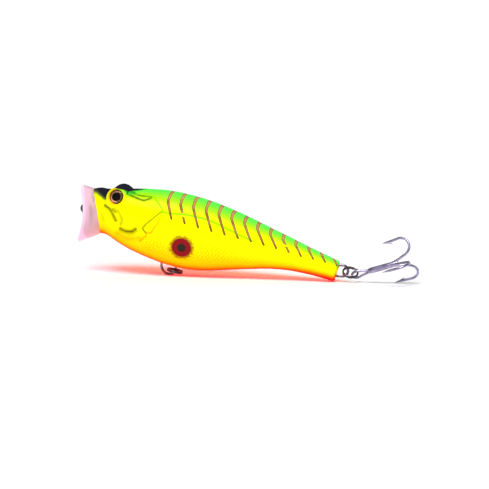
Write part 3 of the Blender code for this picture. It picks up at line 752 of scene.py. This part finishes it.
# Places along the shank and the radius of the braze there
BRAZE = ((BRAZE_START - 0.35, 0.40), (BRAZE_START - 0.1, 0.62), (BRAZE_START + 0.3, 0.78),
         (BRAZE_START + 1.2, 0.84), (BRAZE_START + 3.6, 0.84), (BRAZE_START + 6.2, 0.82),
         (SHANK_END - 0.4, 0.76), (SHANK_END + 0.9, 0.55))
# Each hook's wire inside the braze, before its bend
BEND_ROOT = ((SHANK_END - 6.0, 0.36), (SHANK_END - 3.0, 0.38), (SHANK_END - 1.0, 0.45),
             (SHANK_END + 0.6, 0.85))
BEND_CENTRE = (14.0, 4.4)
BEND_RADIUS = 2.7
BEND_SWEEP = (-64, 96)
POINT_AT = (8.95, 6.85)
POINT_SAG = 0.10                # how far the spear bows between bend and point
# Share of the way from bend to point, and the wire's radius there
SPEAR = ((0.12, 0.36), (0.24, 0.36), (0.36, 0.36), (0.48, 0.36), (0.58, 0.34), (0.68, 0.29),
         (0.78, 0.22), (0.88, 0.15), (0.95, 0.10), (1.0, 0.06))
# The barb, measured back and in from the point, with its radius
BARB = ((1.2, 0.12, 0.13), (1.9, 0.33, 0.20), (2.6, 0.66, 0.15), (3.2, 0.98, 0.06))
VOXEL = 0.055                   # grain of the remesh that fuses the treble


def tie_path():
    x, z = TIE_CENTRE
    eye = arc((x, z), TIE_RADIUS, *TIE_SWEEP, 48)
    tail = smooth_path([(x + TIE_RADIUS * 0.98, 0, z - 0.42), (x + TIE_RADIUS * 1.9, 0, z),
                        (TIE_TAIL - 2, 0, z), (TIE_TAIL, 0, z), (TIE_TAIL + 0.8, 0, z - 0.5),
                        (TIE_TAIL + 0.9, 0, z - 1.8)], 6)[3:]
    return eye + [tuple(p) for p in tail]


def belly_path():
    return [(x, 0.0, z) for x, z in smooth_path(BELLY_WIRE, 8)]


def tail_path():
    x, z, radius = TAIL_LOOP
    upper = [(TAIL_ANCHOR, 0.0, z + 0.75), (TAIL_ANCHOR + 0.25, 0.0, z + radius - 0.3),
             (TAIL_ANCHOR + 0.8, 0.0, z + radius)]
    lower = [(px, 0.0, 2 * z - pz) for px, _, pz in upper[::-1]]
    return upper + arc((x, z), radius, 90, -90, 36) + lower


def ring_coil(name, centre, along, across, start, material):
    """A split ring: two turns of wire side by side, with one turn stepping over to the other."""
    axis = along.cross(across).normalized()
    path = []
    for i in range(COIL_STEPS + 1):
        t = COIL_TURN * i / COIL_STEPS
        layer = float(smooth(2 * math.pi - 0.62, 2 * math.pi + 0.05, t)) * 2 - 1
        # both free ends stand off a little
        lift = COIL_LIFTS[0] * float(smooth(0.40, 0.0, t))
        lift += COIL_LIFTS[1] * float(smooth(COIL_TURN - 0.45, COIL_TURN, t))
        radius = RING_RADIUS + COIL_OUT + lift * 0.8
        offset = axis * (layer * (COIL_WIRE * 0.98 + lift * 0.5))
        a = start + t
        path.append(centre + (along * math.cos(a) + across * math.sin(a)) * radius + offset)
    radii = [COIL_WIRE] * len(path)
    radii[0] = radii[-1] = COIL_WIRE * 0.7
    return wire(name, path, radii, material, 14)


def mid_plane(point):
    return Vector((point[0], 0.0, point[1]))


def tail_ring_plane():
    tilt = Matrix.Rotation(TAIL_RING_PITCH, 3, "Y") @ Matrix.Rotation(TAIL_RING_ROLL, 3, "X")
    return tilt @ Vector((1, 0, 0)), tilt @ Vector((0, 1, 0))


def hook_bend(turn):
    """One hook's path and radii, from inside the shank round the bend to the point."""
    across, out = BEND_CENTRE
    flat = list(BEND_ROOT)
    for a in np.radians(np.linspace(*BEND_SWEEP, 40)):
        flat.append((across + BEND_RADIUS * math.cos(a), out + BEND_RADIUS * math.sin(a)))
    radii = [HOOK_WIRE] * len(flat)
    end = flat[-1]
    for t, radius in SPEAR:
        sag = POINT_SAG * math.sin(math.pi * t)
        flat.append((end[0] + (POINT_AT[0] - end[0]) * t,
                     end[1] + (POINT_AT[1] - end[1]) * t - sag))
        radii.append(radius)
    return turned(flat, turn), radii


def turned(flat, turn):
    """Points (along, out) of one hook's plane, turned round the shank."""
    return [(x, r * math.sin(turn), r * math.cos(turn)) for x, r in flat]


def hook_barb(bm, turn):
    """The barb: a sliver raised from the inner side of the point, open towards the bend."""
    line = [(POINT_AT[0] + back, POINT_AT[1] - down) for back, down, _ in BARB]
    sweep(bm, turned(line, turn), [radius for _, _, radius in BARB], 10)


def treble(material):
    """The treble as one brazed piece: its wires are fused by a remesh in millimetres."""
    bm = bmesh.new()
    length, height = HOOK_EYE
    oval = [(length * math.cos(a), 0.0, height * math.sin(a))
            for a in np.radians(np.linspace(*HOOK_EYE_SWEEP, 48))]
    # both legs of the eye run straight into the brazed shank, closing in a V
    low_leg = [(BRAZE_START + x, 0.0, -off) for x, off in EYE_LEGS]
    high_leg = [(x, 0.0, -z) for x, _, z in low_leg[::-1]]
    sweep(bm, high_leg + oval + low_leg, HOOK_WIRE)
    sweep(bm, [(x, 0.0, 0.0) for x, _ in BRAZE], [radius for _, radius in BRAZE], 32)
    for k in range(3):
        turn = HOOK_TWIST + 2 * math.pi * k / 3
        path, radii = hook_bend(turn)
        sweep(bm, path, radii, 20)
        hook_barb(bm, turn)
    obj = finish_mesh("treble_forging", bm, material, 180, 1.0)
    remesh = obj.modifiers.new("fuse", "REMESH")
    remesh.mode = "VOXEL"
    remesh.voxel_size = VOXEL
    remesh.use_smooth_shade = True
    relax = obj.modifiers.new("relax", "SMOOTH")
    relax.factor = 0.5
    relax.iterations = 3
    apply_modifiers(obj)
    place = Matrix.Rotation(HOOK_YAW, 4, "Z") @ Matrix.Rotation(-HOOK_PITCH, 4, "Y")
    place = place @ Matrix.Rotation(HOOK_ROLL, 4, "X")
    pivot = mid_plane(TAIL_RING_CENTRE) + tail_ring_plane()[0] * RING_RADIUS
    obj.data.transform(Matrix.Scale(MM, 4) @ Matrix.Translation(pivot) @ place)
    return obj


# ---- materials

def srgb(r, g, b):
    """A shader's linear colour from 0-255 display values."""
    def linear(v):
        v = v / 255
        return v / 12.92 if v <= 0.04045 else ((v + 0.055) / 1.055) ** 2.4
    return (linear(r), linear(g), linear(b), 1.0)


class Nodes:
    """Short ways of adding nodes to a material. The paint so far is kept in colour."""

    def __init__(self, name):
        self.material = bpy.data.materials.new(name)
        self.material.use_nodes = True
        self.tree = self.material.node_tree
        self.shader = self.tree.nodes["Principled BSDF"]
        self.colour = None

    def feed(self, value, socket):
        """Link another node's output to a socket, or give the socket a plain value."""
        if hasattr(value, "links"):
            self.tree.links.new(value, socket)
        else:
            socket.default_value = value

    def add(self, kind, inputs=None, **settings):
        """A node with its settings, and its inputs by name or number."""
        node = self.tree.nodes.new(kind)
        for key, value in settings.items():
            setattr(node, key, value)
        for key, value in (inputs or {}).items():
            self.feed(value, node.inputs[key])
        return node

    def field(self, name):
        return self.add("ShaderNodeAttribute", attribute_name=name).outputs["Fac"]

    def math(self, operation, *values):
        return self.add("ShaderNodeMath", dict(enumerate(values)), operation=operation).outputs[0]

    def plus(self, a, b):
        return self.math("ADD", a, b)

    def times(self, product, *others):
        for other in others:
            product = self.math("MULTIPLY", product, other)
        return product

    def ramp(self, source, stops):
        node = self.add("ShaderNodeValToRGB", {"Fac": source})
        elements = node.color_ramp.elements
        while len(elements) < len(stops):
            elements.new(0.5)
        for element, (place, colour) in zip(elements, stops):
            element.position = place
            element.color = colour
        return node.outputs["Color"]

    def mask(self, source, low, high):
        """0 below low and 1 above high, or the other way round when high is the smaller."""
        start, end = (0.0, 1.0) if low < high else (1.0, 0.0)
        node = self.add("ShaderNodeMapRange", {
            "Value": source, "From Min": min(low, high), "From Max": max(low, high),
            "To Min": start, "To Max": end}, interpolation_type="SMOOTHSTEP")
        return node.outputs["Result"]

    def mix(self, factor, a, b, blend="MIX"):
        inputs = {0: factor, 6: a, 7: b}
        return self.add("ShaderNodeMix", inputs, data_type="RGBA", blend_type=blend).outputs[2]

    def paint(self, factor, colour):
        """Lay a colour over what is there."""
        self.colour = self.mix(factor, self.colour, colour)

    def noise(self, scale, detail=3.0, roughness=0.5, stretch=None):
        place = self.add("ShaderNodeTexCoord").outputs["Object"]
        if stretch:
            mapping = self.add("ShaderNodeMapping", {"Vector": place, "Scale": stretch})
            place = mapping.outputs["Vector"]
        inputs = {"Vector": place, "Scale": scale, "Detail": detail, "Roughness": roughness}
        return self.add("ShaderNodeTexNoise", inputs).outputs["Fac"]

    def let_light_through(self, tint):
        """The thin walls pass some light: what falls in their shade is tinted, not dark."""
        clear = self.add("ShaderNodeBsdfTransparent", {"Color": tint})
        mixed = self.add("ShaderNodeMixShader", {
            0: self.add("ShaderNodeLightPath").outputs["Is Shadow Ray"],
            1: self.shader.outputs[0], 2: clear.outputs[0]})
        self.feed(mixed.outputs[0], self.tree.nodes["Material Output"].inputs["Surface"])

    def bump(self, height, strength, distance):
        inputs = {"Height": height, "Strength": strength, "Distance": distance}
        self.set(Normal=self.add("ShaderNodeBump", inputs).outputs["Normal"])

    def set(self, **values):
        """Shader inputs by name, each linked or given a value."""
        for key, value in values.items():
            self.feed(value, self.shader.inputs[key.replace("_", " ")])


def body_paint():
    n = Nodes("fluorescent_paint")
    speckle = n.noise(2600, 2.0, 0.6)
    drift = n.noise(420, 3.0, 0.6)
    scale_edge, scale_tone = scale_pattern(n)
    scaly = n.field("scaly")
    girth = n.field("girth")
    base_paint(n, speckle, n.times(n.plus(scale_tone, -0.5), 0.022, scaly))

    # moulded scales catch a little olive in their joints, most of it low on the flank
    low = n.times(n.mask(girth, 0.34, 0.56), n.mask(girth, 0.90, 0.78))
    n.paint(n.times(scale_edge, scaly, low, 0.48), srgb(170, 134, 0))
    n.paint(n.times(n.mask(girth, 0.20, 0.04), scaly, scale_edge, 0.30), srgb(20, 150, 40))

    # painted shade in the hollows and beside the grooves, ink in the moulded lines, and the thin
    # green and orange lines
    n.paint(n.times(n.field("shade"), n.plus(n.times(drift, 0.8), 0.50)), srgb(112, 116, 0))
    ink = n.times(n.field("ink"), n.plus(n.times(drift, 0.9), 0.5))
    n.paint(n.math("MINIMUM", ink, 0.92), srgb(76, 78, 6))
    n.paint(n.field("green_line"), srgb(124, 240, 0))
    n.paint(n.field("orange_line"), srgb(255, 140, 0))

    dark_crown(n)
    n.paint(n.times(n.field("eye_ring"), 0.7), srgb(255, 150, 0))
    tiger_ribs(n, drift)
    red_spot(n, scale_edge)

    # painted light: the red belly glows and casts red light on whatever is under the lure, and the
    # whole body glows faintly in its own colour
    painted_glow = n.ramp(n.field("painted_glow"), ((0.0, (0, 0, 0, 1)), (1.0, (2.6, 0.0, 0.0, 1))))
    self_glow = n.mix(1.0, n.colour, (0.20, 0.20, 0.20, 1), "MULTIPLY")
    n.set(Base_Color=n.colour, Emission_Color=n.mix(1.0, self_glow, painted_glow, "ADD"))
    n.set(Roughness=0.34, Coat_Weight=0.05, Coat_Roughness=0.25, Emission_Strength=1.0)
    n.set(Specular_IOR_Level=0.0)
    n.let_light_through((1.0, 0.30, 0.30, 1))
    pebble = n.times(n.math("SUBTRACT", 1.0, scale_edge), scaly)
    n.bump(n.plus(pebble, n.times(speckle, 0.10)), 0.35, 0.00005)
    return n.material


def scale_pattern(n):
    """Moulded scales in offset rows: how near a point is to a joint, and each scale's own tone."""
    row = n.field("scale_row")
    column = n.plus(n.field("scale_column"), n.times(row, 0.5))
    place = n.add("ShaderNodeCombineXYZ", {"X": column, "Y": row}).outputs[0]
    cells = {"Vector": place, "Scale": 1.0, "Randomness": 0.55}
    edge, tone = (n.add("ShaderNodeTexVoronoi", cells, feature=feature, voronoi_dimensions="2D")
                  for feature in ("DISTANCE_TO_EDGE", "F1"))
    return n.mask(edge.outputs["Distance"], 0.24, 0.04), tone.outputs["Color"]


def base_paint(n, speckle, tone):
    """Sprayed bands: a green back, yellow flanks and an orange belly, redder at the tail."""
    wobble = n.plus(n.times(n.plus(speckle, -0.5), 0.040), tone)
    back = n.ramp(n.plus(n.field("back"), wobble), (
        (0.00, srgb(84, 244, 84)), (0.08, srgb(98, 250, 66)), (0.13, srgb(118, 252, 48)),
        (0.18, srgb(152, 254, 26)), (0.23, srgb(192, 254, 8)), (0.28, srgb(224, 254, 0)),
        (0.34, srgb(254, 254, 0))))
    belly = n.ramp(n.plus(n.field("belly"), wobble), (
        (0.50, srgb(255, 254, 0)), (0.60, srgb(255, 244, 0)), (0.70, srgb(254, 230, 0)),
        (0.78, srgb(254, 208, 0)), (0.83, srgb(253, 172, 0)), (0.87, srgb(253, 122, 0)),
        (0.91, srgb(252, 78, 0)), (0.96, srgb(248, 42, 0)), (1.0, srgb(240, 26, 4))))
    n.colour = n.mix(n.mask(n.field("girth"), 0.44, 0.46), back, belly)
    n.paint(n.times(n.field("tail"), n.mask(n.field("belly"), 0.88, 1.02)), srgb(206, 14, 30))


def dark_crown(n):
    """Dark snout and crown: through green to black, breaking up into scale dashes on the nape."""
    dashes = n.noise(1300, 2.0, 0.6, (0.7, 1.0, 2.4))
    black, snout = n.field("black"), n.field("snout")
    frayed = n.plus(n.math("SUBTRACT", 1.0, snout), 0.06)
    spread = n.times(n.plus(dashes, -0.5), frayed, n.mask(black, 0.0, 0.15), 0.75)
    dark = n.plus(black, spread)
    n.paint(n.mask(dark, 0.02, 0.42), n.mix(snout, srgb(40, 176, 40), srgb(150, 170, 8)))
    n.paint(n.mask(dark, 0.26, 0.72), srgb(62, 74, 44))
    n.paint(n.mask(dark, 0.55, 0.98), srgb(26, 26, 38))


def tiger_ribs(n, drift):
    """Tan foil in a thin brown outline, with dark worn patches on the lower leg."""
    rib, place = n.field("rib"), n.field("rib_place")
    worn = n.times(n.mask(place, 0.42, 0.62), n.mask(n.noise(420, 1.0, 0.5), 0.36, 0.60))
    tan = n.mix(n.mask(drift, 0.35, 0.65), srgb(162, 116, 72), srgb(192, 144, 94))
    tan = n.mix(worn, tan, srgb(136, 86, 30))
    tan = n.mix(n.mask(place, 0.88, 0.98), tan, srgb(118, 84, 20))
    tan = n.mix(n.mask(place, 0.14, 0.03), tan, srgb(120, 88, 78))
    n.paint(n.mask(rib, 0.46, 0.30), n.mix(n.mask(rib, 0.36, 0.12), srgb(126, 88, 36), tan))


def red_spot(n, scale_edge):
    """The red spot with its black heart and a frayed edge."""
    fray = n.times(n.plus(n.noise(1500, 2.0, 0.7, (0.8, 1.0, 1.5)), -0.5), 0.50)
    fray = n.plus(fray, n.times(n.plus(scale_edge, -0.4), 0.06))
    halo = n.plus(n.field("spot"), fray)
    disc = n.plus(n.field("spot"), n.times(fray, 0.16))
    n.paint(n.times(n.mask(halo, 0.80, 0.60), 0.85), srgb(140, 90, 10))
    n.paint(n.mask(disc, 0.59, 0.545), srgb(132, 22, 28))
    n.paint(n.mask(disc, 0.275, 0.245), srgb(44, 38, 32))


def cup_plastic():
    n = Nodes("clear_pink_plastic")
    streaks = n.noise(520, 2.0, 0.5, (1.0, 1.0, 0.12))
    cloud = n.noise(240, 3.0, 0.5)
    grain = n.noise(2400, 2.0, 0.6)
    # painted shade: the solid wall near the rim is lightest, and the cup darkens towards the head,
    # most of all high up, where the dish seen through the wall lies in shade
    place = n.add("ShaderNodeTexCoord").outputs["Object"]
    height = n.add("ShaderNodeSeparateXYZ", {0: place}).outputs["Z"]
    shade_above_chin = n.plus(n.times(n.mask(height, 9.0 * MM, 13.5 * MM), 0.7), 0.3)
    depth = n.plus(n.times(n.field("to_joint"), shade_above_chin), n.times(n.plus(cloud, -0.5), 0.06))
    n.colour = n.ramp(depth, (
        (0.0, srgb(240, 202, 230)), (0.15, srgb(240, 200, 228)), (0.24, srgb(214, 178, 194)),
        (0.70, srgb(212, 176, 186)), (1.0, srgb(206, 166, 172))))
    high = n.mask(height, 12.0 * MM, 18.0 * MM)
    # darker streaks over the painted shade, high up
    dark_streaks = n.times(n.mask(depth, 0.30, 0.60), n.mask(streaks, 0.42, 0.66), high, 0.75)
    n.paint(dark_streaks, srgb(170, 136, 148))
    # painted light: the cup glows faintly in its own colour
    self_glow = n.mix(1.0, n.colour, (0.12, 0.12, 0.12, 1), "MULTIPLY")
    n.set(Base_Color=n.colour, Roughness=n.plus(n.times(grain, 0.08), 0.26), Emission_Color=self_glow)
    n.set(Transmission_Weight=0.10, IOR=1.30, Subsurface_Weight=0.20, Subsurface_Scale=0.002)
    n.set(Subsurface_Radius=(1.0, 0.7, 0.9), Specular_IOR_Level=0.15, Emission_Strength=1.0)
    n.let_light_through((0.96, 0.88, 0.93, 1))
    n.bump(cloud, 0.03, 0.00005)
    return n.material


def iris_foil():
    n = Nodes("eye_foil_print")
    ahead, above = n.field("ahead"), n.field("above")
    radius = n.math("SQRT", n.plus(n.math("POWER", ahead, 2.0), n.math("POWER", above, 2.0)))
    # the pupil is wider than it is high, and drawn out to a soft point towards the mouth
    wide = n.math("POWER", n.times(ahead, 0.87), 2.0)
    pupil_radius = n.math("SQRT", n.plus(wide, n.math("POWER", above, 2.0)))
    pupil_radius = n.math("SUBTRACT", pupil_radius, n.times(n.mask(ahead, 0.2, 1.0), 0.05))
    # painted highlight: bright arcs on the foil above and below the pupil
    painted_glint = n.times(n.mask(n.math("ABSOLUTE", above), 0.58, 0.68),
                    n.mask(n.math("ABSOLUTE", ahead), 0.34, 0.10), n.mask(radius, 0.80, 0.74))
    grain = n.noise(3200, 3.0, 0.7)
    n.colour = n.ramp(n.plus(radius, n.times(n.plus(grain, -0.5), 0.06)), (
        (0.60, srgb(168, 92, 44)), (0.66, srgb(206, 136, 84)), (0.72, srgb(240, 198, 150)),
        (0.78, srgb(204, 132, 78)), (0.84, srgb(132, 72, 34)), (0.92, srgb(96, 50, 22)),
        (0.99, srgb(116, 70, 24))))
    # the painted highlight on the foil
    n.paint(painted_glint, srgb(255, 236, 206))
    n.paint(n.mask(pupil_radius, 0.60, 0.54), srgb(6, 5, 7))
    n.set(Base_Color=n.colour, Metallic=n.mask(pupil_radius, 0.54, 0.60), Roughness=0.30)
    n.set(Specular_IOR_Level=0.10)
    n.bump(grain, 0.20, 0.00003)
    return n.material


def eye_resin():
    n = Nodes("clear_eye_resin")
    n.set(Roughness=n.plus(n.times(n.noise(700, 2.0), 0.02), 0.01))
    n.set(Base_Color=(1.0, 0.99, 0.97, 1.0), Transmission_Weight=1.0, IOR=1.22)
    return n.material


def metal(name, dark, light, roughness, scale=900, stretch=None, bump=0.12):
    n = Nodes(name)
    grain = n.noise(scale, 4.0, 0.6, stretch)
    n.set(Base_Color=n.mix(n.mask(grain, 0.30, 0.70), dark, light), Metallic=1.0)
    n.set(Roughness=n.plus(n.times(grain, 0.18), roughness - 0.08))
    n.bump(grain, bump, 0.00004)
    return n.material


def plug_plastic():
    n = Nodes("moulded_plug")
    grain = n.noise(700)
    n.set(Base_Color=n.mix(grain, srgb(214, 212, 206), srgb(232, 231, 226)), Roughness=0.5)
    n.bump(grain, 0.15, 0.00005)
    return n.material


def floor_material():
    n = Nodes("white_sweep")
    white = n.mix(n.noise(40, 2.0), (0.93, 0.93, 0.935, 1), (0.95, 0.95, 0.955, 1))
    n.set(Base_Color=white, Roughness=0.6, Specular_IOR_Level=0.2)
    return n.material


# ---- assembly

def add(piece, body, slot, *nodes):
    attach(piece, body)
    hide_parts(*nodes)


def dress(material, *nodes):
    """Give CAD nodes that stay as they are their finished material."""
    for node in nodes:
        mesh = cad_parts[node].data
        mesh.materials.clear()
        mesh.materials.append(material)


def build_lure():
    for name, shell in body_shells(body_paint()).items():
        add(shell, "lure_body", "body_paint", f"body_shell_{name}")
    add(mouth_cup(cup_plastic()), "lure_body", "cup_plastic", "mouth_cup")
    foil, resin = iris_foil(), eye_resin()
    for name, side in (("left", -1), ("right", 1)):
        add(eye_disc(f"eye_iris_{name}", side, iris_profile(), foil),
            "lure_body", "eye_foil", f"eye_foil_{name}")
        add(eye_disc(f"eye_dome_{name}", side, dome_profile(), resin),
            "lure_body", "eye_lens", f"eye_lens_{name}")
    nickel = metal("dark_nickel_wire", srgb(82, 76, 84), srgb(128, 122, 130), 0.22)
    blue_nickel = metal("belly_ring_nickel", srgb(48, 70, 80), srgb(84, 112, 122), 0.20)
    black_nickel = metal("split_ring_nickel", srgb(70, 66, 74), srgb(120, 114, 124), 0.20)
    tin = metal("tinned_hook_steel", srgb(142, 134, 162), srgb(184, 176, 206), 0.30, 500, bump=0.2)
    for name, path in (("line_tie", tie_path()), ("belly_hanger", belly_path()),
                       ("tail_hanger", tail_path())):
        add(wire(f"{name}_wire", path, WIRE, nickel), "lure_body", "hanger_wire", name)
    back = Vector((math.cos(BELLY_RING_PITCH), 0.0, -math.sin(BELLY_RING_PITCH)))
    coil = ring_coil("belly_ring_coil", mid_plane(BELLY_PIVOT) + back * RING_RADIUS, back,
                     Vector((0, 1, 0)), BELLY_COIL_START, blue_nickel)
    add(coil, "belly_ring", "ring_steel", "belly_split_ring")
    coil = ring_coil("tail_ring_coil", mid_plane(TAIL_RING_CENTRE), *tail_ring_plane(),
                     TAIL_COIL_START, black_nickel)
    add(coil, "tail_ring", "ring_steel", "tail_split_ring")
    add(treble(tin), "treble", "hook_steel", "treble_hook")

    steel = metal("polished_ball_steel", srgb(176, 176, 182), srgb(206, 206, 212), 0.16)
    lead = metal("cast_ballast", srgb(92, 92, 98), srgb(124, 124, 130), 0.5, 600, bump=0.4)
    tube = metal("drawn_rattle_tube", srgb(196, 198, 204), srgb(218, 220, 226), 0.3,
                 stretch=(0.1, 1, 1))
    dress(steel, "casting_weight", "rattle_bead_1", "rattle_bead_2", "rattle_bead_3")
    dress(lead, "belly_ballast", "tail_ballast")
    dress(tube, "rattle_tube")
    dress(plug_plastic(), "rattle_plug_front", "rattle_plug_rear")


# ---- stage, light and camera

CAMERA_AZIMUTH = math.radians(10)
CAMERA_ELEVATION = math.radians(7)
CAMERA_ROLL = 0.0185
CAMERA_DISTANCE = 2.0
SENSOR = 36.0
FRAME_WIDTH = 0.13971           # width of the view at the lure
AIM = (-0.00114, 0.00969)       # the view's centre, right of and above the origin
FLOOR_SIZE = 3.0
ROOM_LIGHT = 0.21
PAPER_LIGHT = 1.1
# Name, direction towards it, strength, and how wide it is in degrees
LAMPS = (("key_light", (-0.06, -0.66, 1.0), 3.4, 34), ("rim_light", (0.5, 0.9, 0.8), 0.5, 50))


def white_floor():
    bm = bmesh.new()
    bmesh.ops.create_grid(bm, x_segments=8, y_segments=8, size=FLOOR_SIZE)
    mesh = bpy.data.meshes.new("white_floor")
    bm.to_mesh(mesh)
    bm.free()
    mesh.materials.append(floor_material())
    floor = link("white_floor", mesh)
    floor.location.z = CAD_BOX[0][2]


def lights():
    world = bpy.data.worlds.new("studio")
    bpy.context.scene.world = world
    world.use_nodes = True
    tree = world.node_tree
    room = tree.nodes["Background"]
    room.inputs["Color"].default_value = (0.97, 0.955, 1.0, 1.0)
    room.inputs["Strength"].default_value = ROOM_LIGHT
    # what the camera sees beyond the floor is plain white paper
    paper = tree.nodes.new("ShaderNodeBackground")
    paper.inputs["Color"].default_value = (1.0, 1.0, 1.0, 1.0)
    paper.inputs["Strength"].default_value = PAPER_LIGHT
    seen = tree.nodes.new("ShaderNodeMixShader")
    tree.links.new(tree.nodes.new("ShaderNodeLightPath").outputs["Is Camera Ray"], seen.inputs[0])
    tree.links.new(room.outputs[0], seen.inputs[1])
    tree.links.new(paper.outputs[0], seen.inputs[2])
    tree.links.new(seen.outputs[0], tree.nodes["World Output"].inputs["Surface"])
    for name, toward, strength, spread in LAMPS:
        lamp = bpy.data.lights.new(name, "SUN")
        lamp.energy = strength
        lamp.angle = math.radians(spread)
        link(name, lamp).rotation_euler = Vector(toward).to_track_quat("Z", "Y").to_euler()


def camera():
    a, e = CAMERA_AZIMUTH, CAMERA_ELEVATION
    right = Vector((math.cos(a), math.sin(a), 0.0))
    ahead = Vector((-math.sin(a) * math.cos(e), math.cos(a) * math.cos(e), -math.sin(e)))
    up = right.cross(ahead)
    across = right * math.cos(CAMERA_ROLL) + up * math.sin(CAMERA_ROLL)
    above = up * math.cos(CAMERA_ROLL) - right * math.sin(CAMERA_ROLL)
    data = bpy.data.cameras.new("camera")
    data.sensor_width = SENSOR
    data.lens = SENSOR * CAMERA_DISTANCE / FRAME_WIDTH
    data.clip_start = 0.05
    data.clip_end = 20.0
    obj = link("camera", data)
    target = across * AIM[0] + above * AIM[1]
    turn = Matrix((across, above, -ahead)).transposed().to_4x4()
    obj.matrix_world = Matrix.Translation(target - ahead * CAMERA_DISTANCE) @ turn
    bpy.context.scene.camera = obj


build_lure()
white_floor()
lights()
camera()
bpy.context.scene.view_settings.view_transform = "Standard"
